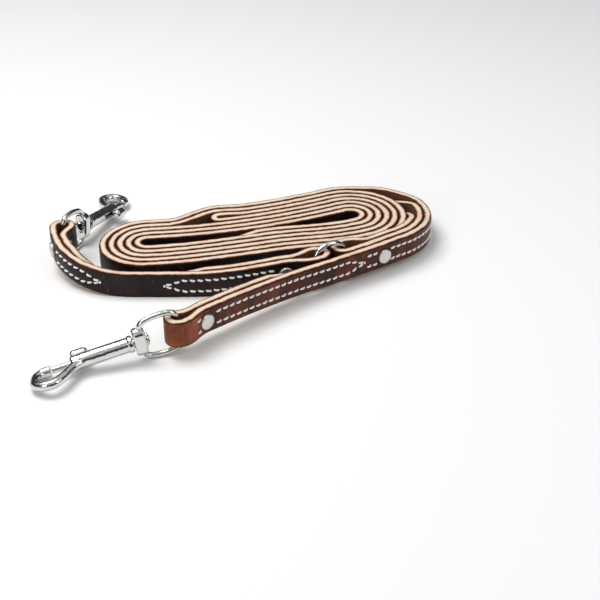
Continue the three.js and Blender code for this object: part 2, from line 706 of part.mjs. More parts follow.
function springGeometry() {
  const from = studEnd + clearance + springWire;
  const to = boltStart - clearance - springWire;
  const points = range(0, 1, 1 / (springTurns * 10)).map((t) => {
    const angle = t * springTurns * 2 * Math.PI;
    return new THREE.Vector3(mix(from, to, t), springRadius * Math.cos(angle), springRadius * Math.sin(angle));
  });
  return tube(new THREE.CatmullRomCurve3(points), springWire, springTurns * 9, 3);
}

function addSnap(letter, hinge, heading, roll) {
  const frame = new THREE.Group();
  frame.position.set(hinge[0], hinge[1], snapLift + strapWidth / 2);
  frame.rotation.set(0, snapPitch * rad, heading * rad, 'ZYX');
  leash.add(frame);
  add(frame, `eye_${letter}`, eyeGeometry(), nickel);
  const turning = new THREE.Group();
  turning.rotation.x = roll * rad;
  frame.add(turning);
  add(turning, `snap_body_${letter}`, bodyGeometry(), nickel);
  add(turning, `swivel_stud_${letter}`, studGeometry(), nickel);
  add(turning, `bolt_${letter}`, boltGeometry(), nickel);
  add(turning, `thumb_knob_${letter}`, knobGeometry(), nickel);
  add(turning, `bolt_spring_${letter}`, springGeometry(), satin);
}

addSnap('a', snapAHinge, snapAHeading, 8);
addSnap('b', snapBHinge, snapBHeading, 0);

// ---------------------------------------------------------------- origin under the middle
const box = new THREE.Box3().setFromObject(leash, true);
leash.position.set(-(box.min.x + box.max.x) / 2, -(box.min.y + box.max.y) / 2, -box.min.z);

export default leash;
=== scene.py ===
"""A two-snap leather training leash, rolled up flat on the edge of its strap. Metres, +Z up."""

import json
import math
from bisect import bisect_right

import bpy
from mathutils import Matrix, Vector, noise


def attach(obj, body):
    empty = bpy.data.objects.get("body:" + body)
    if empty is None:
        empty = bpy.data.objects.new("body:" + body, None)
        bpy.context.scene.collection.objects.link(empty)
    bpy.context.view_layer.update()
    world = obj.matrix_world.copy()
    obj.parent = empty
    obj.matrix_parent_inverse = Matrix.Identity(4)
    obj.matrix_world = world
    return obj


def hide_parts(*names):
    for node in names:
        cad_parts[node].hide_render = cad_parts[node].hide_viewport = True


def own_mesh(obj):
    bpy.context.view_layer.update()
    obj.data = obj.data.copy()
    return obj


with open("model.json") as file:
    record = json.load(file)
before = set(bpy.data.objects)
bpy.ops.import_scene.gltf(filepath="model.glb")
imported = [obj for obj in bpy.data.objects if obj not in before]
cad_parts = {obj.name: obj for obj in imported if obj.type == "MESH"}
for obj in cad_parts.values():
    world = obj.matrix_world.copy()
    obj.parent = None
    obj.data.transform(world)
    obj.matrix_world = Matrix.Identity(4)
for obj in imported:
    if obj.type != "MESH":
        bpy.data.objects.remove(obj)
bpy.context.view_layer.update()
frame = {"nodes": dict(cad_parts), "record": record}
joints = {j["name"]: j for j in frame["record"]["behaviour"]["joints"]}

MM = 0.001

# ---------------------------------------------------------------- sizes, the same as the frame's
STRAP_WIDTH = 12.7 * MM
STRAP_THICKNESS = 3.9 * MM
LAYER_PITCH = STRAP_THICKNESS + 0.3 * MM
TURN_PITCH = STRAP_THICKNESS + 0.45 * MM
TAIL_TAPER = 20 * MM
TIP_HALF = 1.2 * MM

EYE_WIRE_RADIUS = 1.4 * MM
RING_WIRE_RADIUS = 1.4 * MM
RING_ROOM = 4.45 * MM
RING_OUTER_RADIUS = STRAP_WIDTH / 2 + RING_ROOM
RING_RADIUS = RING_OUTER_RADIUS - RING_WIRE_RADIUS
FOLD_ROOM = 1.45 * MM
FOLD_RADIUS = EYE_WIRE_RADIUS + FOLD_ROOM + STRAP_THICKNESS / 2
SNAP_LIFT = 6.8 * MM
RING_LIFT = 4.5 * MM

LEFT_CENTRE = (-60 * MM, -2 * MM)
RIGHT_CENTRE = (45 * MM, 28.6 * MM)
LEFT_HEADING = 5
RIGHT_HEADING = 27
AXIS_HANDLE = 37 * MM
LEFT_INNER_RADIUS = 5.2 * MM
RIGHT_INNER_RADIUS = 6 * MM
HAIRPIN_RADIUS = 3.2 * MM
HAIRPIN_AT = 0.37
HAIRPIN_FADE = 0.16
TAIL_END_AT = 0.34
LEFT_HOLE_TO = 0.44
HOLE_FROM = 0.54
STEP_LENGTH = 0.27
TAB_TIP_ANGLE_1 = 22
TAB_TIP_ANGLE_2 = 52
TAB_STEP_ANGLE = 34
TAB_CLEARANCE = 0.15 * MM
LEAVE_ANGLE = -54
LEAVE_HEADING = LEAVE_ANGLE + 94
LEAVE_STRAIGHT = 4 * MM
FOLD_A_STRAIGHT = 3 * MM

SNAP_A_HINGE = (-36.8 * MM, -83.8 * MM)
STRAP_HEADING_AT_A = 41
FRONT_POINTS = [
    (-0.0174, -0.0694), (0.0003, -0.054), (0.0174, -0.0398), (0.0367, -0.0267), (0.0569, -0.0133),
]
BRANCH_POINTS = [
    (0.013, -0.0289), (0.0, -0.0314), (-0.014, -0.0327), (-0.032, -0.0334), (-0.052, -0.0337),
    (-0.070, -0.0333), (-0.083, -0.0308), (-0.0935, -0.0252), (-0.101, -0.0172), (-0.1056, -0.0076),
]
BRANCH_END = (-0.1082, 0.0025)
BRANCH_END_HEADING = 99
FOLD_BACK_ON_A = 74 * MM
FOLD_BACK_ON_RING = 77.5 * MM
FOLD_BACK_ON_B = 48 * MM
SEAM_A_END = 108 * MM
RING_FROM_FOLD_A = 102.5 * MM
RING_HEADING = 29
CLOSING = 11 * MM
FOLD_SLACK = 0.37 * MM
WIRE_ROOM = 1.3 * MM
FOLD_REACH = math.sqrt(RING_RADIUS ** 2 - (STRAP_WIDTH / 2) ** 2) + FOLD_SLACK
FOLD_STRAIGHT = RING_RADIUS - FOLD_REACH + RING_WIRE_RADIUS + WIRE_ROOM

RIVET_FROM_FOLD = 13.2 * MM
RIVET_PAST_CLOSING = 2.2 * MM
RIVET_FROM_RING = FOLD_STRAIGHT + CLOSING + RIVET_PAST_CLOSING
RIVET_HEAD_RADIUS = 3.8 * MM
RIVET_HEAD_HEIGHT = 1.1 * MM
CAP_SEAT = 0.3 * MM
SEAM_SPREAD = 3.0 * MM
SEAM_MARGIN = 10 * MM
SEAM_FROM_RIVET = 5.5 * MM
SEAM_FROM_TIP = 6 * MM
STITCH_BEYOND_RIVET = 5.6 * MM
SECOND_STITCH_BEYOND_RIVET = 9.2 * MM
STITCH_PITCH = 3.8 * MM
STITCH_LENGTH = 3.2 * MM
THREAD_RADIUS = 0.56 * MM

# ---------------------------------------------------------------- camera
CAMERA_PLACE = (0.0286, -0.5003, 0.2983)
CAMERA_TILT = 58.5
CAMERA_LENS = 70

camera = bpy.data.objects.new("camera", bpy.data.cameras.new("camera"))
bpy.context.scene.collection.objects.link(camera)
camera.location = CAMERA_PLACE
camera.rotation_euler = (math.radians(CAMERA_TILT), 0, 0)
camera.data.lens = CAMERA_LENS
camera.data.sensor_width = 36
camera.data.clip_start = 0.01
bpy.context.scene.camera = camera


# ---------------------------------------------------------------- small helpers
def mix(a, b, t):
    return a + (b - a) * t


def smooth(start, end, value):
    t = min(1, max(0, (value - start) / (end - start)))
    return t * t * (3 - 2 * t)


def steps(start, end, step):
    count = max(2, round(abs(end - start) / step))
    return [mix(start, end, i / count) for i in range(count + 1)]


def along(point, degrees, distance):
    a = math.radians(degrees)
    return Vector((point[0] + distance * math.cos(a), point[1] + distance * math.sin(a), 0))


class Route:
    """A line through many points, measured by its length."""

    def __init__(self, points):
        self.points = points
        self.lengths = [0.0]
        for a, b in zip(points, points[1:]):
            self.lengths.append(self.lengths[-1] + (b - a).length)
        self.total = self.lengths[-1]

    def at(self, distance):
        d = min(self.total, max(0, distance))
        low = min(bisect_right(self.lengths, d) - 1, len(self.points) - 2)
        span = self.lengths[low + 1] - self.lengths[low]
        return self.points[low].lerp(self.points[low + 1], (d - self.lengths[low]) / span if span else 0)

    def heading(self, distance):
        reach = 0.6 * MM
        return (self.at(distance + reach) - self.at(distance - reach)).normalized()

    def side(self, distance):
        """Horizontal, to the left of the way the route runs."""
        t = self.heading(distance)
        return Vector((-t.y, t.x, 0)).normalized()

    def offset(self, distance, sideways, up=0):
        p = self.at(distance) + self.side(distance) * sideways
        return Vector((p.x, p.y, p.z + up))


def evened(points, spacing=0.5 * MM, reach=3):
    """Evens out the joins between arcs and free stretches."""
    raw = Route(points)
    count = round(raw.total / spacing)
    even = [raw.at(i / count * raw.total) for i in range(count + 1)]
    result = []
    for i in range(len(even)):
        r = min(reach, i, count - i)
        result.append(sum(even[i - r:i + r + 1], Vector()) / (2 * r + 1))
    return Route(result)


def arc(centre, radius, start, end):
    size = radius if callable(radius) else lambda _: radius
    step = math.degrees(0.8 * MM / size(start))
    return [along(centre, angle, size(angle)) for angle in steps(start, end, step)]


def spline(points, per_span=40):
    """Centripetal Catmull-Rom curve through points."""
    p = [Vector((q[0], q[1], q[2] if len(q) > 2 else 0)) for q in points]
    p = [p[0] * 2 - p[1]] + p + [p[-1] * 2 - p[-2]]
    result = []
    for p0, p1, p2, p3 in zip(p, p[1:], p[2:], p[3:]):
        k1 = (p1 - p0).length ** 0.5
        k2 = k1 + (p2 - p1).length ** 0.5
        k3 = k2 + (p3 - p2).length ** 0.5
        for s in range(per_span):
            t = mix(k1, k2, s / per_span)
            a, b = p0.lerp(p1, t / k1), p1.lerp(p2, (t - k1) / (k2 - k1))
            c = p2.lerp(p3, (t - k2) / (k3 - k2))
            result.append(a.lerp(b, t / k2).lerp(b.lerp(c, (t - k1) / (k3 - k1)), (t - k1) / (k2 - k1)))
    return result + [p[-2].copy()]


# ---------------------------------------------------------------- plan of the roll
def lengthened(points):
    """Fine points of a spline, at an even spacing."""
    line = Route(spline(points))
    return [line.at(d) for d in steps(0, line.total, 0.5 * MM)]


AXIS = [
    Vector((*LEFT_CENTRE, 0)), along(LEFT_CENTRE, LEFT_HEADING, AXIS_HANDLE),
    along(RIGHT_CENTRE, RIGHT_HEADING + 180, AXIS_HANDLE), Vector((*RIGHT_CENTRE, 0)),
]


def axis_point(t):
    a, b, c, d = AXIS
    return a * (1 - t) ** 3 + b * 3 * t * (1 - t) ** 2 + c * 3 * t * t * (1 - t) + d * t ** 3


def axis_heading(t):
    a, b, c, d = AXIS
    return ((b - a) * (1 - t) ** 2 + (c - b) * 2 * t * (1 - t) + (d - c) * t * t).normalized()


def beside_axis(t, offset):
    h = axis_heading(t)
    return axis_point(t) + Vector((-h.y, h.x, 0)) * offset


axis_length = Route([axis_point(i / 200) for i in range(201)]).total
hairpin_extra = 2 * HAIRPIN_RADIUS - TURN_PITCH


def back_run(count):
    """Offset of a back run, counted outward from the innermost."""
    return lambda t: mix(LEFT_INNER_RADIUS, RIGHT_INNER_RADIUS, t) + TURN_PITCH * count


def hairpin_upper(t):
    return back_run(4)(t) + hairpin_extra * (1 - smooth(HAIRPIN_AT, HAIRPIN_AT + HAIRPIN_FADE, t))


def over_hairpin(t):
    if t >= HAIRPIN_AT:
        return hairpin_upper(t) + TURN_PITCH
    return back_run(3)(t) + (2 * TURN_PITCH + hairpin_extra) * smooth(HAIRPIN_AT - STEP_LENGTH, HAIRPIN_AT, t)


def outermost(t):
    dt = 0.002
    slope = (over_hairpin(t + dt) - over_hairpin(t - dt)) / (2 * dt * axis_length)
    return over_hairpin(t) + TURN_PITCH * math.hypot(1, slope)


def front_run(count):
    def offset(t):
        hole = (2 * RIGHT_INNER_RADIUS - TURN_PITCH) * smooth(HOLE_FROM, 1, t)
        hole += 2 * (LEFT_INNER_RADIUS - TURN_PITCH) * (1 - smooth(0, LEFT_HOLE_TO, t))
        return back_run(0)(t) - TURN_PITCH * (count + 1) - hole
    return offset


def run(offset, start, end):
    return [beside_axis(t, offset(t)) for t in steps(start, end, 0.008)]


def right_bend(count, inward):
    ends = [RIGHT_HEADING - 90, RIGHT_HEADING + 90]
    return arc(RIGHT_CENTRE, RIGHT_INNER_RADIUS + TURN_PITCH * count, *(ends[::-1] if inward else ends))


def left_bend(count, inward):
    ends = [LEFT_HEADING + 90, LEFT_HEADING + 270]
    return arc(LEFT_CENTRE, LEFT_INNER_RADIUS + TURN_PITCH * count, *(ends[::-1] if inward else ends))


def tab_layer_radius(angle):
    outer = RIGHT_INNER_RADIUS + TURN_PITCH * 6 + TAB_CLEARANCE
    return outer + LAYER_PITCH * (1 - smooth(TAB_TIP_ANGLE_1, TAB_TIP_ANGLE_1 + TAB_STEP_ANGLE, angle))


def strap_over_tab_radius(angle):
    step_down = smooth(TAB_TIP_ANGLE_2, TAB_TIP_ANGLE_2 + TAB_STEP_ANGLE, angle)
    return tab_layer_radius(angle) + LAYER_PITCH * (1 - step_down)


fold_start_a = along(SNAP_A_HINGE, STRAP_HEADING_AT_A - 90, FOLD_RADIUS)
fold_closed_a = along(SNAP_A_HINGE, STRAP_HEADING_AT_A, CLOSING)
fold_shoulder_a = along(fold_closed_a, STRAP_HEADING_AT_A - 90, LAYER_PITCH / 2)
leave_point = along(RIGHT_CENTRE, LEAVE_ANGLE, strap_over_tab_radius(LEAVE_ANGLE))
front_stretch = lengthened(
    [fold_start_a, along(fold_start_a, STRAP_HEADING_AT_A, FOLD_A_STRAIGHT), fold_shoulder_a, *FRONT_POINTS,
     leave_point, along(leave_point, LEAVE_HEADING, LEAVE_STRAIGHT)])
leave_distance = Route(front_stretch).total - LEAVE_STRAIGHT
while (front_stretch[-1] - leave_point).length > 0.6 * MM:
    front_stretch.pop()


def roll_points():
    bulb = beside_axis(HAIRPIN_AT, back_run(3)(HAIRPIN_AT) + HAIRPIN_RADIUS)
    h = axis_heading(HAIRPIN_AT)
    facing = math.degrees(math.atan2(h.y, h.x))
    turns = [
        *arc(RIGHT_CENTRE, strap_over_tab_radius, LEAVE_ANGLE, RIGHT_HEADING + 90), *run(outermost, 1, 0),
        *left_bend(4, False), *run(front_run(5), 0, 1), *right_bend(5, False), *run(over_hairpin, 1, 0),
        *left_bend(3, False), *run(front_run(4), 0, 1), *right_bend(4, False),
        *run(hairpin_upper, 1, HAIRPIN_AT), *arc(bulb, HAIRPIN_RADIUS, facing + 90, facing + 270),
        *run(back_run(3), HAIRPIN_AT, 1),
    ]
    for count in (3, 2, 1):
        turns += [*right_bend(count, True), *run(front_run(count), 1, 0), *left_bend(count - 1, True),
                  *run(back_run(count - 1), 0, 1)]
    return turns + [*right_bend(0, True), *run(front_run(0), 1, TAIL_END_AT)]


def fold_offset(distance, straight=0.0):
    """How far a folded-back layer lies from the layer in front, at a distance from the fold."""
    return mix(2 * FOLD_RADIUS, LAYER_PITCH, smooth(straight, straight + CLOSING, distance))


def face_lift(d):
    """Height of the strap's lower edge: raised at its fittings, down on the surface in the roll."""
    return mix(SNAP_LIFT, RING_LIFT, smooth(20 * MM, 90 * MM, d)) * (
        1 - smooth(leave_distance - 10 * MM, leave_distance + 66 * MM, d))


def lifted(points, lift):
    d = 0
    result = []
    for i, p in enumerate(points):
        if i:
            d += math.hypot(p.x - points[i - 1].x, p.y - points[i - 1].y)
        result.append(Vector((p.x, p.y, lift(d))))
    return Route(result)


def layer_behind(route, start, end, offset, step=0.8 * MM):
    return [route.offset(d, offset(d)) for d in steps(start, end, step)]


def at_height(points, height):
    return [Vector((p.x, p.y, height)) for p in points]


# the plan's own origin lies here in the frame
hinge_a = Vector(joints["eye_a_turn"]["pos_m"])
PLAN_SHIFT = Vector((hinge_a.x - SNAP_A_HINGE[0], hinge_a.y - SNAP_A_HINGE[1], 0))
MIDDLE = 0.3 * MM   # a folded layer takes over from its arc here

main_face = lifted(evened(front_stretch + roll_points()).points, face_lift)
main_route = evened(
    layer_behind(main_face, FOLD_BACK_ON_A, MIDDLE, fold_offset)
    + at_height(arc(SNAP_A_HINGE, FOLD_RADIUS, STRAP_HEADING_AT_A + 90, STRAP_HEADING_AT_A + 270), SNAP_LIFT)
    + layer_behind(main_face, MIDDLE, main_face.total, lambda _: 0, 0.5 * MM))

tab_fold_centre = main_face.offset(RING_FROM_FOLD_A, LAYER_PITCH + FOLD_RADIUS)
tab_direction = main_face.heading(RING_FROM_FOLD_A)
tab_heading = math.degrees(math.atan2(tab_direction.y, tab_direction.x))


def distance_at_angle(angle):
    """Where the main strap passes this angle of the right-hand bend."""
    d = leave_distance
    target = along(RIGHT_CENTRE, angle, strap_over_tab_radius(angle))
    while d < main_face.total and math.hypot(*(main_face.at(d) - target).xy) > 0.7 * MM:
        d += 0.5 * MM
    return d


tab_end_1 = distance_at_angle(TAB_TIP_ANGLE_1) - 1 * MM
tab_end_2 = distance_at_angle(TAB_TIP_ANGLE_2) - 1 * MM
tab_fold = arc(tab_fold_centre, FOLD_RADIUS, tab_heading - 90, tab_heading - 270)
tab_route = evened(
    layer_behind(main_face, tab_end_2, RING_FROM_FOLD_A, lambda _: LAYER_PITCH)
    + at_height(tab_fold, main_face.at(RING_FROM_FOLD_A).z)
    + layer_behind(main_face, RING_FROM_FOLD_A, tab_end_1,
                   lambda d: LAYER_PITCH + fold_offset(d - RING_FROM_FOLD_A, FOLD_STRAIGHT)))

ring_centre = along(tab_fold_centre, RING_HEADING + 180, FOLD_REACH)
ring_centre = Vector((ring_centre.x, ring_centre.y, RING_LIFT + STRAP_WIDTH / 2))
branch_fold = along(ring_centre, RING_HEADING + 180, FOLD_REACH)
branch_start_heading = RING_HEADING + 180 - 6
branch_start = along(branch_fold, branch_start_heading + 90, FOLD_RADIUS)
branch_fine = lengthened(
    [branch_start, along(branch_start, branch_start_heading, 6 * MM), *BRANCH_POINTS, BRANCH_END,
     along(BRANCH_END, BRANCH_END_HEADING, 4 * MM)])
while (branch_fine[-1] - Vector((*BRANCH_END, 0))).length > 0.5 * MM:
    branch_fine.pop()
branch_flat = evened(branch_fine)
branch_face = lifted(branch_flat.points, lambda d: (
    RING_LIFT * (1 - smooth(12 * MM, 62 * MM, d))
    + SNAP_LIFT * smooth(branch_flat.total - 60 * MM, branch_flat.total - 10 * MM, d)))
snap_b_hinge = along(BRANCH_END, BRANCH_END_HEADING - 90, FOLD_RADIUS)
branch_fold_arc = arc(branch_fold, FOLD_RADIUS, branch_start_heading - 90, branch_start_heading - 270)
branch_route = evened(
    layer_behind(branch_face, FOLD_BACK_ON_RING, MIDDLE, lambda d: -fold_offset(d, FOLD_STRAIGHT))
    + at_height(branch_fold_arc, RING_LIFT)
    + layer_behind(branch_face, MIDDLE, branch_face.total - MIDDLE, lambda _: 0, 0.5 * MM)
    + at_height(arc(snap_b_hinge, FOLD_RADIUS, BRANCH_END_HEADING + 90, BRANCH_END_HEADING - 90), SNAP_LIFT)
    + layer_behind(branch_face, branch_face.total - MIDDLE, branch_face.total - FOLD_BACK_ON_B,
                   lambda d: -fold_offset(branch_face.total - d)))

# ---------------------------------------------------------------- materials
def new_material(name):
    m = bpy.data.materials.new(name)
    m.use_nodes = True
    return m, m.node_tree.nodes, m.node_tree.links, m.node_tree.nodes["Principled BSDF"]


def colour(r, g, b):
    """An sRGB colour, 0 to 255, as the shader's linear one."""
    return [*((c / 255 / 12.92 if c <= 10 else ((c / 255 + 0.055) / 1.055) ** 2.4) for c in (r, g, b)), 1]


def add_node(nodes, kind, **inputs):
    n = nodes.new(kind)
    for key, value in inputs.items():
        n.inputs[key.replace("_", " ")].default_value = value
    return n


def ramp(nodes, links, source, stops):
    r = nodes.new("ShaderNodeValToRGB")
    links.new(source, r.inputs["Fac"])
    while len(r.color_ramp.elements) < len(stops):
        r.color_ramp.elements.new(0.5)
    for element, (place, value) in zip(r.color_ramp.elements, stops):
        element.position = place
        element.color = value
    return r.outputs["Color"]


def blended(nodes, links, factor, a, b, kind="MIX"):
    m = nodes.new("ShaderNodeMix")
    m.data_type = "RGBA"
    m.blend_type = kind
    for socket, value in ((m.inputs["Factor"], factor), (m.inputs[6], a), (m.inputs[7], b)):
        if isinstance(value, bpy.types.NodeSocket):
            links.new(value, socket)
        else:
            socket.default_value = value
    return m.outputs[2]


def strap_place(nodes, links):
    """A strap's own coordinates: both in one, metres along it, and metres across or through it."""
    both = nodes.new("ShaderNodeUVMap")
    both.uv_map = "strap"
    split = nodes.new("ShaderNodeSeparateXYZ")
    links.new(both.outputs["UV"], split.inputs[0])
    return both.outputs["UV"], split.outputs["X"], split.outputs["Y"]


def bumped(nodes, links, shader, heights):
    """Bumps from (socket, strength, distance), one over the other."""
    normal = None
    for source, strength, distance in heights:
        b = add_node(nodes, "ShaderNodeBump", Strength=strength, Distance=distance)
        links.new(source, b.inputs["Height"])
        if normal:
            links.new(normal, b.inputs["Normal"])
        normal = b.outputs["Normal"]
    links.new(normal, shader.inputs["Normal"])


def stretched_noise(nodes, links, uv, across, scale, detail=4, roughness=0.6):
    """Noise in the strap's own coordinates, drawn out along it when across is over 1."""
    mapping = nodes.new("ShaderNodeMapping")
    mapping.inputs["Scale"].default_value = (1, across, 1)
    links.new(uv, mapping.inputs["Vector"])
    n = add_node(nodes, "ShaderNodeTexNoise", Scale=scale, Detail=detail, Roughness=roughness)
    links.new(mapping.outputs["Vector"], n.inputs["Vector"])
    return n.outputs["Fac"]


def grain_leather(name, tones, sheen_at):
    """Smooth oiled leather. tones are (metres along the strap, colour of its lightest areas)."""
    m, nodes, links, shader = new_material(name)
    uv, distance, _ = strap_place(nodes, links)
    longest = tones[-1][0]
    scaled = add_node(nodes, "ShaderNodeMapRange", From_Max=longest)
    links.new(distance, scaled.inputs["Value"])
    base = ramp(nodes, links, scaled.outputs["Result"], [(d / longest, c) for d, c in tones])
    cloud = stretched_noise(nodes, links, uv, 3, 60, 5)
    worn = ramp(nodes, links, cloud, [(0.42, (0.3, 0.25, 0.25, 1)), (0.62, (1, 1, 1, 1))])
    streak = stretched_noise(nodes, links, uv, 6, 130, 4)
    dark = ramp(nodes, links, streak, [(0.3, (0.5, 0.44, 0.44, 1)), (0.6, (1, 1, 1, 1))])
    mottled = blended(nodes, links, 1.0, base, worn, "MULTIPLY")
    tanned = blended(nodes, links, 1.0, mottled, dark, "MULTIPLY")
    dust = stretched_noise(nodes, links, uv, 1, 1500, 2)
    flecks = ramp(nodes, links, dust, [(0.66, (0, 0, 0, 1)), (0.74, (0.4, 0.4, 0.4, 1))])
    links.new(blended(nodes, links, flecks, tanned, colour(150, 128, 112)), shader.inputs["Base Color"])
    pores = add_node(nodes, "ShaderNodeTexVoronoi", Scale=2600)
    links.new(uv, pores.inputs["Vector"])
    creases = stretched_noise(nodes, links, uv, 0.35, 900, 6, 0.7)
    rough = add_node(nodes, "ShaderNodeMapRange", To_Min=sheen_at - 0.08, To_Max=sheen_at + 0.16)
    links.new(cloud, rough.inputs["Value"])
    links.new(rough.outputs["Result"], shader.inputs["Roughness"])
    shader.inputs["Specular IOR Level"].default_value = 0.22
    bumped(nodes, links, shader, [(pores.outputs["Distance"], 0.16, 0.0002), (creases, 0.3, 0.00025),
                                  (cloud, 0.35, 0.0006)])
    return m


def raw_edge():
    """The cut edge: pale fibres between two strips that the dye has soaked into."""
    m, nodes, links, shader = new_material("cut_edge")
    uv, _, through = strap_place(nodes, links)
    wander = 1.4 * MM
    shifted = nodes.new("ShaderNodeMath")
    shifted.operation = "MULTIPLY_ADD"
    links.new(stretched_noise(nodes, links, uv, 1, 260, 3), shifted.inputs[0])
    shifted.inputs[1].default_value = wander
    links.new(through, shifted.inputs[2])
    place = add_node(nodes, "ShaderNodeMapRange", From_Min=(wander - STRAP_THICKNESS) / 2,
                     From_Max=(wander + STRAP_THICKNESS) / 2)
    links.new(shifted.outputs[0], place.inputs["Value"])
    bands = ramp(nodes, links, place.outputs["Result"], [
        (0.0, colour(60, 30, 20)), (0.1, colour(104, 52, 30)), (0.17, colour(186, 116, 72)),
        (0.28, colour(230, 218, 200)), (0.5, colour(240, 234, 222)), (0.72, colour(230, 216, 196)),
        (0.83, colour(178, 100, 58)), (0.9, colour(92, 44, 26)), (1.0, colour(44, 22, 16)),
    ])
    fibres = stretched_noise(nodes, links, uv, 3, 1500, 5, 0.75)
    shade = ramp(nodes, links, fibres, [(0.3, (0.74, 0.68, 0.6, 1)), (0.62, (1, 1, 1, 1))])
    stain = ramp(nodes, links, stretched_noise(nodes, links, uv, 1, 45, 4), [
        (0.5, (1, 1, 1, 1)), (0.78, (0.84, 0.7, 0.56, 1))])
    fibrous = blended(nodes, links, 1.0, bands, shade, "MULTIPLY")
    links.new(blended(nodes, links, 1.0, fibrous, stain, "MULTIPLY"), shader.inputs["Base Color"])
    shader.inputs["Roughness"].default_value = 0.82
    shader.inputs["Specular IOR Level"].default_value = 0.25
    bumped(nodes, links, shader, [(fibres, 0.6, 0.0003)])
    return m


def flesh_side():
    m, nodes, links, shader = new_material("flesh_side")
    uv, _, _ = strap_place(nodes, links)
    fibres = stretched_noise(nodes, links, uv, 1.5, 1100, 6, 0.75)
    links.new(ramp(nodes, links, fibres, [(0.3, colour(62, 32, 22)), (0.7, colour(112, 66, 44))]),
              shader.inputs["Base Color"])
    shader.inputs["Roughness"].default_value = 0.85
    bumped(nodes, links, shader, [(fibres, 0.6, 0.0004)])
    return m


def metal(name, tone, roughness, unevenness, scale):
    m, nodes, links, shader = new_material(name)
    place = nodes.new("ShaderNodeTexCoord").outputs["Object"]
    shader.inputs["Base Color"].default_value = tone
    shader.inputs["Metallic"].default_value = 1
    cast = add_node(nodes, "ShaderNodeTexNoise", Scale=scale, Detail=3, Roughness=0.5)
    fine = add_node(nodes, "ShaderNodeTexNoise", Scale=scale * 9, Detail=4, Roughness=0.6)
    for n in (cast, fine):
        links.new(place, n.inputs["Vector"])
    rough = add_node(nodes, "ShaderNodeMapRange", To_Min=roughness * 0.6, To_Max=roughness * 1.5)
    links.new(fine.outputs["Fac"], rough.inputs["Value"])
    links.new(rough.outputs["Result"], shader.inputs["Roughness"])
    bumped(nodes, links, shader, [(cast.outputs["Fac"], unevenness, 0.0008),
                                  (fine.outputs["Fac"], unevenness * 0.3, 0.0002)])
    return m


def thread_material():
    m, nodes, links, shader = new_material("waxed_thread")
    place = nodes.new("ShaderNodeTexCoord").outputs["Object"]
    twist = add_node(nodes, "ShaderNodeTexNoise", Scale=2400, Detail=3)
    links.new(place, twist.inputs["Vector"])
    white = ramp(nodes, links, twist.outputs["Fac"], [
        (0.3, colour(222, 216, 206)), (0.6, colour(253, 251, 247))])
    links.new(white, shader.inputs["Base Color"])
    shader.inputs["Roughness"].default_value = 0.62
    bumped(nodes, links, shader, [(twist.outputs["Fac"], 0.5, 0.0002)])
    return m


ESPRESSO = colour(42, 25, 20)
CHESTNUT = colour(104, 47, 29)
TAN = colour(188, 104, 58)
main_grain = grain_leather("main_grain", [
    (0.0, CHESTNUT), (0.055, CHESTNUT), (0.08, TAN), (0.105, colour(140, 70, 42)), (0.15, CHESTNUT),
    (0.29, CHESTNUT), (0.34, ESPRESSO), (2.4, ESPRESSO)], 0.42)
branch_grain = grain_leather("branch_grain", [(0.0, ESPRESSO), (0.4, ESPRESSO)], 0.4)
tab_grain = grain_leather("tab_grain", [(0.0, CHESTNUT), (0.3, CHESTNUT)], 0.45)
edge = raw_edge()
flesh = flesh_side()
thread = thread_material()
bright_nickel = metal("bright_nickel", (0.66, 0.65, 0.63, 1), 0.13, 0.34, 330)
satin_nickel = metal("satin_nickel", (0.66, 0.64, 0.6, 1), 0.42, 0.35, 420)
spring_steel = metal("spring_steel", (0.5, 0.5, 0.51, 1), 0.3, 0.1, 300)


# ---------------------------------------------------------------- pieces
def new_object(name, vertices, faces, materials, smooth_faces=True):
    mesh = bpy.data.meshes.new(name)
    mesh.from_pydata(vertices, [], faces)
    for m in materials:
        mesh.materials.append(m)
    mesh.polygons.foreach_set("use_smooth", [smooth_faces] * len(mesh.polygons))
    obj = bpy.data.objects.new(name, mesh)
    bpy.context.scene.collection.objects.link(obj)
    return obj


def stand_for(obj, body, slot, *nodes):
    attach(obj, body)
    if nodes:
        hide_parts(*nodes)
    return obj


def wobble(place, scale, size, seed=0.0):
    return noise.noise(Vector(place) * scale + Vector((seed, 3.7 * seed, 1.3))) * size


GRAIN, EDGE, FLESH = 0, 1, 2   # a strap's materials, in this order


def section(top, spread, groove):
    """Outline of a strap, top being half its height, as (sideways, up, material). It starts in the middle of
    the upper edge and goes round by the grain side, with a groove at spread above and below the middle."""
    t = STRAP_THICKNESS / 2
    soft = 0.55 * MM
    lip = 0.85 * MM
    upper_edge = [(0.55 * t, top, EDGE), (t - 0.35 * soft, top - 0.12 * soft, EDGE)]
    if top > spread + 2 * lip:
        heights = [mix(top - soft, spread + lip, 0.5), spread + lip, spread, spread - lip]
    else:
        heights = [mix(top - soft, 0, k / 5) for k in range(1, 5)]
    upper_grain = [(t - (groove if k == 2 else 0), h, GRAIN) for k, h in enumerate(heights)]
    upper_half = [*upper_edge, (t, top - soft, GRAIN), *upper_grain]
    lower_half = [(x, -h, material) for x, h, material in reversed(upper_half)]
    corner = t - 0.2 * soft
    back = [(-0.55 * t, -top, EDGE), (-corner, -top + 0.08 * soft, EDGE), (-t, -top + 0.5 * soft, FLESH),
            (-t, -0.4 * top, FLESH), (-t, 0.4 * top, FLESH), (-t, top - 0.5 * soft, FLESH),
            (-corner, top - 0.08 * soft, EDGE), (-0.55 * t, top, EDGE)]
    return [(0.0, top, EDGE), *upper_half, (t, 0.0, GRAIN), *lower_half, (0.0, -top, EDGE), *back]


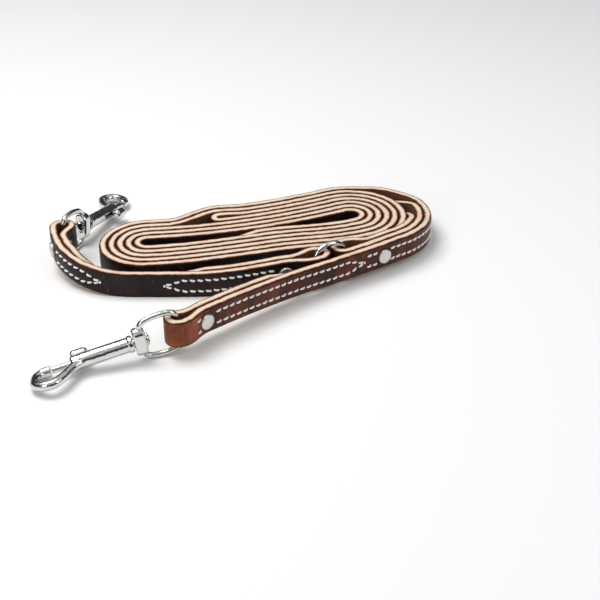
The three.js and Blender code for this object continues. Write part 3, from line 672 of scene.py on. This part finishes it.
def strap_rows(route):
    """Distances for a strap's sections, closer together where it turns."""
    longest, shortest, turn_per_row = 2.4 * MM, 0.55 * MM, 0.11
    rows = []
    d = 0.0
    while d < route.total:
        rows.append(d)
        reach = min(1.5 * MM, route.total - d)
        turn = route.side(d).angle(route.side(d + reach)) / reach
        d += min(longest, max(shortest, turn_per_row / max(turn, 1e-3)))
    if route.total - rows[-1] < 0.3 * MM:
        rows.pop()
    return rows + [route.total]


def strap(name, route, half_width, grain_side, materials, stitched, seed):
    """A flat strap along a route. grain_side is +1 when its smooth face is on the route's left, and stitched(d)
    gives the height of the thread rows and the depth of their groove."""
    rows = strap_rows(route)
    vertices = []
    for d in rows:
        half = half_width(d)
        spread, groove = stitched(d)
        side, base = route.side(d) * grain_side, route.at(d)
        outline = section(half, spread, groove)
        for sideways, up, zone in outline:
            long_wave = wobble((d, up, 0), 190, 0.1 * MM, seed)
            short_wave = wobble((d, sideways * 3, up), 900, 0.05 * MM, seed)
            lift = long_wave + short_wave if abs(up) > half - 0.7 * MM else 0
            face_wave = wobble((d, up, 9), 160, 0.07 * MM, seed)
            p = base + side * (sideways + face_wave)
            height = p.z + STRAP_WIDTH / 2 + up + lift * (1 if up > 0 else 0.4)
            vertices.append((p.x, p.y, max(0.0, height)))
    count = len(outline)
    zones = [zone for _, _, zone in outline]
    faces, slots = [], []
    for i in range(len(rows) - 1):
        for k in range(count):
            n = (k + 1) % count
            a, b = i * count + k, i * count + n
            faces.append((a, b, b + count, a + count))
            slots.append(EDGE if EDGE in (zones[k], zones[n]) else zones[k])
    faces += [tuple(range(count - 1, -1, -1)), tuple(range((len(rows) - 1) * count, len(rows) * count))]
    slots += [EDGE, EDGE]
    obj = new_object(name, vertices, faces, materials)
    mesh = obj.data
    mesh.polygons.foreach_set("material_index", slots)
    layer = mesh.uv_layers.new(name="strap")
    for polygon in mesh.polygons:
        across = 0 if slots[polygon.index] == EDGE else 1
        for loop in polygon.loop_indices:
            row, k = divmod(mesh.loops[loop].vertex_index, count)
            layer.data[loop].uv = (rows[row], outline[k][across])
    if grain_side > 0:
        mesh.flip_normals()
    return obj


def tapered(total):
    def half_width(d):
        return mix(TIP_HALF, STRAP_WIDTH / 2, min(1, min(d, total - d) / TAIL_TAPER) ** 0.8)
    return half_width


def seam_spread(end, d):
    """Half the distance between a seam's two rows, which close in a V at its end."""
    return mix(0.55 * MM, SEAM_SPREAD, smooth(0, SEAM_MARGIN, abs(end - d)))


def groove_for(seams, face_starts):
    """The groove for each seam's thread, on a strap whose face starts at this distance along its route."""
    depth, run_out = 0.28 * MM, 1 * MM

    def stitched(d):
        at = d - face_starts
        for start, end in seams:
            low, high = min(start, end), max(start, end)
            if low - run_out <= at <= high + run_out:
                begun = smooth(low - run_out, low + run_out, at)
                ended = smooth(high - run_out, high + run_out, at)
                return max(seam_spread(end, at), 0.9 * MM), depth * begun * (1 - ended)
        return SEAM_SPREAD, 0.0
    return stitched


main_fold_length = main_route.total - main_face.total
near_face_start = [(p.xy - branch_face.at(0).xy).length < 1.2 * MM for p in branch_route.points]
branch_fold_length = branch_route.lengths[near_face_start.index(True)]

seam_a = (RIVET_FROM_FOLD + SEAM_FROM_RIVET, SEAM_A_END)
tab_rivet_at = RING_FROM_FOLD_A + RIVET_FROM_RING
seam_tab = (tab_rivet_at + RIVET_HEAD_RADIUS, tab_end_2 - SEAM_FROM_TIP)
seam_ring = (RIVET_FROM_RING + SEAM_FROM_RIVET, FOLD_BACK_ON_RING)
seam_b = (branch_face.total - RIVET_FROM_FOLD - SEAM_FROM_RIVET, branch_face.total - FOLD_BACK_ON_B)

main_strap = strap("leather_main_strap", main_route, tapered(main_route.total), -1, [main_grain, edge, flesh],
                   groove_for([seam_a, seam_tab], main_fold_length), 1.0)
branch_strap = strap("leather_branch_strap", branch_route, tapered(branch_route.total), 1,
                     [branch_grain, edge, flesh], groove_for([seam_ring, seam_b], branch_fold_length), 2.0)
ring_tab = strap("leather_ring_tab", tab_route, tapered(tab_route.total), 1, [tab_grain, edge, flesh],
                 lambda d: (SEAM_SPREAD, 0.0), 3.0)
for piece in (main_strap, branch_strap, ring_tab):
    piece.data.transform(Matrix.Translation(PLAN_SHIFT))
stand_for(main_strap, "leash", "leather", "main_strap")
stand_for(branch_strap, "branch", "leather", "branch_strap")
stand_for(ring_tab, "leash", "leather", "ring_tab")


# ---------------------------------------------------------------- thread
def stitch(vertices, faces, centre, ahead, out, length):
    """One stitch: a short round strand that dives into the leather at both ends."""
    sides, rings = 8, 7
    across = ahead.cross(out)
    first = len(vertices)
    for i in range(rings + 1):
        t = i / rings * 2 - 1
        bow = 1 - abs(t) ** 3
        radius = THREAD_RADIUS * (0.72 + 0.28 * bow)
        middle = centre + ahead * (t * length / 2) + out * (mix(-1.35, 0.1, bow) * THREAD_RADIUS)
        for k in range(sides):
            a = 2 * math.pi * k / sides
            vertices.append(middle + across * (radius * math.cos(a)) + out * (radius * math.sin(a)))
    for i in range(rings):
        for k in range(sides):
            a, b = first + i * sides + k, first + i * sides + (k + 1) % sides
            faces.append((a, b, b + sides, a + sides))
    faces.append(tuple(range(first + sides - 1, first - 1, -1)))
    faces.append(tuple(range(first + rings * sides, first + (rings + 1) * sides)))


def seam(name, body, route, start, end, side, node, extra=()):
    """Two rows of stitches on the face away from side, closing in a V, and single stitches at extra."""
    vertices, faces = [], []
    turn = 1 if end > start else -1
    count = round(abs(end - start) / STITCH_PITCH)
    surface = STRAP_THICKNESS / 2
    for row in (1, -1):
        places = [mix(start, end, (i + 0.5) / count) for i in range(count)] + list(extra)
        for d in places:
            spread = seam_spread(end, d) if d not in extra else SEAM_SPREAD
            jitter = wobble((d, row, 0), 400, 0.25 * MM, 5)
            out = route.side(d) * -side
            here = route.offset(d, -side * surface, STRAP_WIDTH / 2 + row * spread + jitter * 0.5)
            a = route.offset(d - turn * MM, -side * surface, row * seam_spread(end, d - turn * MM))
            b = route.offset(d + turn * MM, -side * surface, row * seam_spread(end, d + turn * MM))
            ahead = (b - a).normalized()
            if d in extra:
                ahead = route.heading(d)
            ahead = (ahead + Vector((0, 0, 0.22 + wobble((d, row, 2), 300, 0.12)))).normalized()
            stitch(vertices, faces, here, ahead, out, STITCH_LENGTH + jitter)
    tip = route.offset(end + turn * 0.2 * MM, -side * surface, STRAP_WIDTH / 2)
    stitch(vertices, faces, tip, Vector((0, 0, 1)), route.side(end) * -side, 1.6 * MM)
    obj = new_object(name, vertices, faces, [thread])
    obj.data.transform(Matrix.Translation(PLAN_SHIFT))
    return stand_for(obj, body, "thread", node)


seam("stitches_snap_a", "leash", main_face, *seam_a, 1, "seam_snap_a",
     extra=(RIVET_FROM_FOLD - STITCH_BEYOND_RIVET,))
seam("stitches_ring_tab", "leash", main_face, *seam_tab, 1, "seam_ring_tab",
     extra=(tab_rivet_at - STITCH_BEYOND_RIVET, tab_rivet_at - SECOND_STITCH_BEYOND_RIVET))
seam("stitches_branch_ring", "branch", branch_face, *seam_ring, -1, "seam_branch_ring")
seam("stitches_snap_b", "branch", branch_face, *seam_b, -1, "seam_snap_b",
     extra=(branch_face.total - RIVET_FROM_FOLD + STITCH_BEYOND_RIVET,))


# ---------------------------------------------------------------- turned and swept shapes
def turned_mesh(profile, sides=48):
    """Vertices and faces of a shape turned about X from (x, radius) pairs that start and end on the axis."""
    vertices, faces = [(profile[0][0], 0, 0)], []
    for x, r in profile[1:-1]:
        for k in range(sides):
            a = 2 * math.pi * k / sides
            vertices.append((x, r * math.cos(a), r * math.sin(a)))
    vertices.append((profile[-1][0], 0, 0))
    last = len(vertices) - 1
    rings = len(profile) - 2
    for k in range(sides):
        n = (k + 1) % sides
        faces.append((0, 1 + n, 1 + k))
        for i in range(rings - 1):
            a, b = 1 + i * sides + k, 1 + i * sides + n
            faces.append((a, b, b + sides, a + sides))
        faces.append((last, 1 + (rings - 1) * sides + k, 1 + (rings - 1) * sides + n))
    return vertices, faces


def swept_mesh(points, radius, sides=20):
    """Vertices and faces of a round bar along a line, with its radius(t) for t from 0 to 1."""
    line = Route(points)
    count = max(8, round(line.total / (0.5 * MM)))
    vertices, faces = [], []
    first = line.heading(0)
    up = Vector((0, 0, 1)) if abs(first.z) < 0.9 else Vector((0, 1, 0))
    for i in range(count + 1):
        t = i / count
        d = t * line.total
        ahead = line.heading(d)
        across = ahead.cross(up).normalized()
        up = across.cross(ahead).normalized()
        for k in range(sides):
            a = 2 * math.pi * k / sides
            vertices.append(line.at(d) + (across * math.cos(a) + up * math.sin(a)) * radius(t))
    for i in range(count):
        for k in range(sides):
            a, b = i * sides + k, i * sides + (k + 1) % sides
            faces.append((a, b, b + sides, a + sides))
    faces.append(tuple(range(sides - 1, -1, -1)))
    faces.append(tuple(range(count * sides, (count + 1) * sides)))
    return vertices, faces


def prism_mesh(outline, half):
    count = len(outline)
    vertices = [(x, y, -half) for x, y in outline] + [(x, y, half) for x, y in outline]
    faces = [tuple(range(count - 1, -1, -1)), tuple(range(count, 2 * count))]
    faces += [(k, (k + 1) % count, (k + 1) % count + count, k + count) for k in range(count)]
    return vertices, faces


def with_modifier(obj, kind, **settings):
    """Applies one modifier."""
    m = obj.modifiers.new(kind.lower(), kind)
    for key, value in settings.items():
        setattr(m, key, value)
    result = bpy.data.meshes.new_from_object(obj.evaluated_get(bpy.context.evaluated_depsgraph_get()))
    obj.modifiers.clear()
    obj.data = result
    return obj


def cast(name, shapes, voxel, rounds, cuts=(), material=None):
    """Shapes run together into one casting with soft joins, and then cut."""
    vertices, faces = [], []
    for v, f in shapes:
        first = len(vertices)
        vertices += [tuple(p) for p in v]
        faces += [tuple(first + i for i in face) for face in f]
    obj = new_object(name, vertices, faces, [material])
    with_modifier(obj, "REMESH", mode="VOXEL", voxel_size=voxel, use_smooth_shade=True)
    with_modifier(obj, "SMOOTH", factor=0.6, iterations=rounds)
    for v, f in cuts:
        cutter = new_object("cutter", v, f, [material])
        bpy.context.view_layer.update()
        with_modifier(obj, "BOOLEAN", operation="DIFFERENCE", object=cutter, solver="EXACT")
        bpy.data.objects.remove(cutter)
    obj.data.polygons.foreach_set("use_smooth", [True] * len(obj.data.polygons))
    return obj


def sharpened(obj, degrees=40):
    obj.data.set_sharp_from_angle(angle=math.radians(degrees))
    return obj


# ---------------------------------------------------------------- rivets
# (share of the cap's height, share of its radius)
CAP_PROFILE = [(0.0, 0.0), (0.0, 0.98), (0.45, 1.0), (0.72, 0.985), (0.86, 0.94), (0.94, 0.86), (0.975, 0.72),
               (0.99, 0.45), (1.0, 0.2), (1.0, 0.0)]


def rivet_cap(name, body, route, at, side):
    facing = route.side(at) * -side
    middle = route.at(at) + PLAN_SHIFT + Vector((0, 0, STRAP_WIDTH / 2))
    place = middle + facing * (STRAP_THICKNESS / 2 + 0.02 * MM)
    height = CAP_SEAT + RIVET_HEAD_HEIGHT
    v, f = turned_mesh([(height * x, RIVET_HEAD_RADIUS * r) for x, r in CAP_PROFILE])
    obj = new_object(f"cap_{name}", v, f, [satin_nickel])
    across = Vector((0, 0, 1)).cross(facing)
    turn = Matrix((facing, across, Vector((0, 0, 1)))).transposed().to_4x4()
    obj.data.transform(Matrix.Translation(place) @ turn)
    return stand_for(sharpened(obj, 50), body, "satin_nickel", f"rivet_cap_{name}")


rivet_cap("snap_a", "leash", main_face, RIVET_FROM_FOLD, 1)
rivet_cap("ring_tab", "leash", main_face, tab_rivet_at, 1)
rivet_cap("branch_ring", "branch", branch_face, RIVET_FROM_RING, -1)
rivet_cap("snap_b", "branch", branch_face, branch_face.total - RIVET_FROM_FOLD, -1)

# ---------------------------------------------------------------- ring
def welded_ring():
    """The round ring, whose wire is a little thicker at its weld."""
    around, sides, weld_at = 96, 24, 20
    centre = ring_centre + PLAN_SHIFT
    axis = along((0, 0), RING_HEADING + 90, 1)
    vertices, faces = [], []
    for k in range(around):
        a = 2 * math.pi * k / around
        outward = along((0, 0), RING_HEADING, math.cos(a)) + Vector((0, 0, math.sin(a)))
        wire = RING_WIRE_RADIUS * (1 + 0.06 * math.exp(-((k - weld_at) / 1.6) ** 2))
        for j in range(sides):
            b = 2 * math.pi * j / sides
            vertices.append(centre + outward * (RING_RADIUS + wire * math.cos(b)) + axis * (wire * math.sin(b)))
            n, m = (k + 1) % around, (j + 1) % sides
            faces.append((sides * k + j, sides * n + j, sides * n + m, sides * k + m))
    return new_object("welded_ring", vertices, faces, [bright_nickel])


stand_for(welded_ring(), "ring", "nickel", "branch_ring")

# ---------------------------------------------------------------- swivel bolt snaps
# Local frame: the hinge in the strap's fold is Z, the snap points along +X, and the hook bulges to +Y.
EYE_HALF_HEIGHT = 10.1 * MM
BOSS_START = 15.5 * MM
BOSS_DEPTH = 5.5 * MM
BOSS_WIDTH = 7 * MM
BOSS_HEIGHT = 14 * MM
STUD_RADIUS = 1.9 * MM
STUD_HEAD_RADIUS = 3.1 * MM
STUD_HEAD_HEIGHT = 1.4 * MM
CLEARANCE = 0.3 * MM
BARREL_START = BOSS_START + BOSS_DEPTH + 0.4 * MM
BARREL_FRONT = BARREL_START + 28.5 * MM
BARREL_RADIUS = 3.5 * MM
COLLAR_RADIUS = 4 * MM
COLLAR_LENGTH = 2.6 * MM
BARREL_BORE = 2.2 * MM
BOLT_GUIDE_LENGTH = 3.2 * MM
BOLT_RADIUS = 1.55 * MM
BOLT_TRAVEL = 8 * MM
HOOK_RADIUS = 2.2 * MM
HOOK_BULGE = 12.9 * MM
NOSE = BARREL_FRONT + 19.5 * MM
TIP_RADIUS = 2.4 * MM
TIP_FACE = NOSE - 10.4 * MM
KNOB_RADIUS = 2.7 * MM
KNOB_LENGTH = 8.2 * MM
KNOB_OFFSET = 6.6 * MM
STEM_RADIUS = 1.1 * MM
STEM_AT = BARREL_FRONT - 4.6 * MM
BOLT_START = STEM_AT - 6.2 * MM
STUD_END = BARREL_START + 3.6 * MM
SPRING_WIRE = 0.3 * MM
SPRING_RADIUS = 1.5 * MM
SPRING_TURNS = 6
SPRING_START = STUD_END + CLEARANCE
SPRING_END = BOLT_START - CLEARANCE


def moved(shape, x=0.0, y=0.0, z=0.0):
    vertices, faces = shape
    return [(p[0] + x, p[1] + y, p[2] + z) for p in vertices], faces


def rod(start, end, radius, sides=48):
    return turned_mesh([(start, 0), (start, radius), (end, radius), (end, 0)], sides)


def rounded_rod(start, end, radius, soft, sides=48):
    corner = [(soft * (1 - math.cos(a)), radius - soft * (1 - math.sin(a))) for a in
              (math.radians(s) for s in (0, 30, 60, 90))]
    first = [(start + x, r) for x, r in corner]
    last = [(end - x, r) for x, r in reversed(corner)]
    return turned_mesh([(start, 0), *first, *last, (end, 0)], sides)


def eye(name):
    """The wire loop in the strap's fold, cast in one with the boss that the stud turns in."""
    half = [(BOSS_START + 2.6 * MM, 5.2 * MM), (BOSS_START + 0.6 * MM, EYE_HALF_HEIGHT - 1.5 * MM),
            (BOSS_START - 4.5 * MM, EYE_HALF_HEIGHT), (5 * MM, EYE_HALF_HEIGHT),
            (1.4 * MM, EYE_HALF_HEIGHT - 0.9 * MM), (0, EYE_HALF_HEIGHT - 3.1 * MM),
            (0, EYE_HALF_HEIGHT - 5 * MM)]
    line = spline([(x, 0, z) for x, z in half] + [(0, 0, 0)] + [(x, 0, -z) for x, z in reversed(half)], 12)
    cap = (BOSS_HEIGHT - BOSS_WIDTH) / 2
    end_radius = BOSS_WIDTH / 2 - 0.4 * MM
    outline = []
    for centre, start in ((cap, 0), (-cap, 180)):
        for s in range(0, 181, 12):
            a = math.radians(start + s)
            outline.append((end_radius * math.cos(a), centre + end_radius * math.sin(a)))
    boss, boss_faces = prism_mesh(outline, BOSS_DEPTH / 2)
    boss = [(z + BOSS_START + BOSS_DEPTH / 2, x, y) for x, y, z in boss]
    swell, swell_faces = prism_mesh([(x * 1.12, y * 1.06) for x, y in outline], BOSS_DEPTH / 2 - 0.7 * MM)
    swell = [(z + BOSS_START + BOSS_DEPTH / 2, x, y) for x, y, z in swell]
    shapes = [swept_mesh(line, lambda t: EYE_WIRE_RADIUS), (boss, boss_faces), (swell, swell_faces)]
    bore = rod(BOSS_START - 2 * MM, BOSS_START + BOSS_DEPTH + 2 * MM, STUD_RADIUS + CLEARANCE)
    return cast(name, shapes, 0.24 * MM, 5, [bore], bright_nickel)


def hook_and_barrel(name):
    """The barrel and the hook in one casting, with a bore for the bolt and a slot for the knob's stem."""
    f = BARREL_FRONT
    collar_end = BARREL_START + COLLAR_LENGTH
    barrel = turned_mesh([
        (BARREL_START, 0), (BARREL_START, COLLAR_RADIUS - 0.6 * MM),
        (BARREL_START + 0.25 * MM, COLLAR_RADIUS - 0.1 * MM), (BARREL_START + 0.6 * MM, COLLAR_RADIUS),
        (collar_end - 0.5 * MM, COLLAR_RADIUS), (collar_end, BARREL_RADIUS - 0.15 * MM),
        (collar_end + 0.7 * MM, BARREL_RADIUS), (f - 1.6 * MM, BARREL_RADIUS),
        (f - 0.8 * MM, BARREL_RADIUS + 0.12 * MM), (f, BARREL_RADIUS - 0.5 * MM),
        (f + 0.3 * MM, BARREL_RADIUS - 1.1 * MM), (f + 0.3 * MM, 0)])
    far = NOSE - HOOK_RADIUS
    line = spline([(x, y, 0) for x, y in (
        (f - 5 * MM, 1.1 * MM), (f, 4.1 * MM), (f + 4.6 * MM, 9 * MM), (f + 10 * MM, 0.985 * HOOK_BULGE),
        (far - 3.4 * MM, 0.93 * HOOK_BULGE), (far - 0.4 * MM, 9.2 * MM), (far, 5.8 * MM),
        (far - 1.6 * MM, 2 * MM), (far - 4.5 * MM, 0.15 * MM), (TIP_FACE + 1.6 * MM, 0))], 12)
    bar = swept_mesh(line, lambda t: HOOK_RADIUS * (1 + 0.05 * math.sin(math.pi * t)))
    tip = rounded_rod(TIP_FACE, TIP_FACE + 4.4 * MM, TIP_RADIUS, 0.5 * MM)
    web = prism_mesh([(f - 9 * MM, 1 * MM), (f - 6 * MM, 3 * MM), (f, 5 * MM), (f + 4.2 * MM, 8.2 * MM),
                      (f - 0.6 * MM, 1.8 * MM)][::-1], 1.7 * MM)
    slot_half = STEM_RADIUS + CLEARANCE
    slot_from, slot_to = STEM_AT - BOLT_TRAVEL - slot_half, STEM_AT + slot_half
    slot = prism_mesh([(slot_from, -KNOB_OFFSET), (slot_to, -KNOB_OFFSET), (slot_to, 0), (slot_from, 0)],
                      slot_half)
    cuts = [rod(BARREL_START - 1 * MM, f - BOLT_GUIDE_LENGTH, BARREL_BORE),
            rod(f - BOLT_GUIDE_LENGTH - 1 * MM, TIP_FACE - 0.01 * MM, BOLT_RADIUS + CLEARANCE), slot]
    return cast(name, [barrel, bar, tip, web], 0.26 * MM, 4, cuts, bright_nickel)


def stud(name):
    """The swivel stud, with its end hammered flat inside the eye."""
    head = BOSS_START - CLEARANCE
    v, f = turned_mesh([
        (head - STUD_HEAD_HEIGHT, 0), (head - STUD_HEAD_HEIGHT, 0.8 * MM), (head - 1.25 * MM, 1.7 * MM),
        (head - 0.95 * MM, 2.5 * MM), (head - 0.5 * MM, STUD_HEAD_RADIUS),
        (head - 0.15 * MM, STUD_HEAD_RADIUS), (head, STUD_HEAD_RADIUS - 0.3 * MM), (head, STUD_RADIUS),
        (STUD_END, STUD_RADIUS), (STUD_END, 0)], 64)
    hammered = []
    for p in v:
        p = Vector(p)
        if p.x < head - 0.1 * MM:
            outward = Vector((0, p.y, p.z)).normalized()
            p += Vector((wobble(p, 900, 0.35 * MM), 0, 0)) + outward * wobble(p, 700, 0.35 * MM, 2)
        hammered.append(p)
    return sharpened(new_object(name, hammered, f, [bright_nickel]), 45)


def knob(name):
    """The thumb knob on its stem, which stands on the bolt."""
    half = KNOB_LENGTH / 2
    shape = rounded_rod(-half, half, KNOB_RADIUS, 1.7 * MM)
    upright, sides = rod(0, KNOB_OFFSET - BOLT_RADIUS, STEM_RADIUS)
    stem = [(p[1] + STEM_AT, p[0] - KNOB_OFFSET, p[2]) for p in upright], [tuple(reversed(f)) for f in sides]
    return cast(name, [moved(shape, STEM_AT, -KNOB_OFFSET), stem], 0.2 * MM, 3, (), bright_nickel)


def bolt(name):
    """The rod that closes the hook, with the flange that its spring pushes on."""
    flange_end, flange_radius = BOLT_START + 1.4 * MM, BOLT_RADIUS + 0.3 * MM
    v, f = turned_mesh([
        (BOLT_START, 0), (BOLT_START, flange_radius), (flange_end, flange_radius), (flange_end, BOLT_RADIUS),
        (TIP_FACE - 0.6 * MM, BOLT_RADIUS), (TIP_FACE - 0.32 * MM, BOLT_RADIUS - 0.3 * MM),
        (TIP_FACE - 0.3 * MM, 0)], 40)
    return sharpened(new_object(name, v, f, [bright_nickel]), 40)


def spring(name):
    """The coil that pushes the bolt forward. Its last turns lie closer."""
    start, end = SPRING_START + SPRING_WIRE, SPRING_END - SPRING_WIRE
    line = []
    for t in steps(0, 1, 1 / (24 * SPRING_TURNS)):
        a = 2 * math.pi * SPRING_TURNS * t
        x = mix(start, end, t - 0.09 * math.sin(2 * math.pi * t))
        line.append(Vector((x, SPRING_RADIUS * math.cos(a), SPRING_RADIUS * math.sin(a))))
    v, f = swept_mesh(line, lambda t: SPRING_WIRE, 8)
    return new_object(name, v, f, [spring_steel])


def snap(letter, roll):
    """A whole snap, turned about its own length by roll degrees."""
    hinge = joints[f"eye_{letter}_turn"]
    x = Vector(joints[f"snap_{letter}_swivel"]["axis"]).normalized()
    z = Vector(hinge["axis"]).normalized()
    level = Matrix((x, z.cross(x), z)).transposed().to_4x4()
    level.translation = Vector(hinge["pos_m"])
    rolled = level @ Matrix.Rotation(math.radians(roll), 4, "X")
    for make, label, node, rides, place in (
        (eye, "swivel_eye", "eye", f"eye_{letter}", level),
        (hook_and_barrel, "hook_and_barrel", "snap_body", f"snap_{letter}", rolled),
        (stud, "peened_stud", "swivel_stud", f"snap_{letter}", rolled),
        (knob, "knob", "thumb_knob", f"bolt_{letter}", rolled),
        (bolt, "sliding_bolt", "bolt", f"bolt_{letter}", rolled),
    ):
        obj = make(f"{label}_{letter}")
        obj.data.transform(place)
        stand_for(obj, rides, "nickel", f"{node}_{letter}")
    coil = spring(f"coil_spring_{letter}")
    coil.data.transform(rolled)
    stand_for(coil, f"snap_{letter}", "spring_steel", f"bolt_spring_{letter}")
    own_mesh(coil)


SNAP_A_ROLL = 8
snap("a", SNAP_A_ROLL)
snap("b", 0)

# what stays as the frame has it
for name, node in frame["nodes"].items():
    if not node.hide_render:
        node.data.materials.clear()
        node.data.materials.append(satin_nickel)
        node.data.polygons.foreach_set("use_smooth", [True] * len(node.data.polygons))
        node.data.set_sharp_from_angle(angle=math.radians(40))

# ---------------------------------------------------------------- stage and light
bpy.ops.mesh.primitive_plane_add(size=4)
floor = bpy.context.object
floor.name = "floor"
paper, _, _, shader = new_material("white_paper")
shader.inputs["Base Color"].default_value = (0.92, 0.92, 0.92, 1)
shader.inputs["Roughness"].default_value = 0.7
shader.inputs["Specular IOR Level"].default_value = 0.2
floor.data.materials.append(paper)


def softbox(name, place, size, power, aim=(0, 0, 0)):
    light = bpy.data.lights.new(name, "AREA")
    light.shape = "RECTANGLE"
    light.size, light.size_y = size
    light.energy = power
    obj = bpy.data.objects.new(name, light)
    bpy.context.scene.collection.objects.link(obj)
    obj.location = place
    obj.rotation_euler = (Vector(aim) - Vector(place)).to_track_quat("-Z", "Y").to_euler()


softbox("key", (-0.3, 0.1, 0.8), (0.5, 0.5), 5.2)
softbox("fill", (0.75, -0.3, 0.5), (0.35, 0.5), 1.5)
softbox("front", (-0.45, -0.75, 0.45), (0.3, 0.5), 1.5)

world = bpy.data.worlds.new("studio")
bpy.context.scene.world = world
world.use_nodes = True
world_nodes, world_links = world.node_tree.nodes, world.node_tree.links
height = world_nodes.new("ShaderNodeSeparateXYZ")
world_links.new(world_nodes.new("ShaderNodeTexCoord").outputs["Generated"], height.inputs[0])
# a dark room with a pale ceiling, which polished metal shows as dark and white bands
room = ramp(world_nodes, world_links, height.outputs["Z"], [
    (0.0, (0.5, 0.5, 0.5, 1)), (0.1, (0.04, 0.04, 0.045, 1)),
    (0.5, (0.05, 0.05, 0.055, 1)), (0.72, (0.6, 0.6, 0.6, 1))])
world_links.new(room, world_nodes["Background"].inputs["Color"])
world_nodes["Background"].inputs["Strength"].default_value = 1.0

bpy.context.scene.view_settings.view_transform = "Standard"
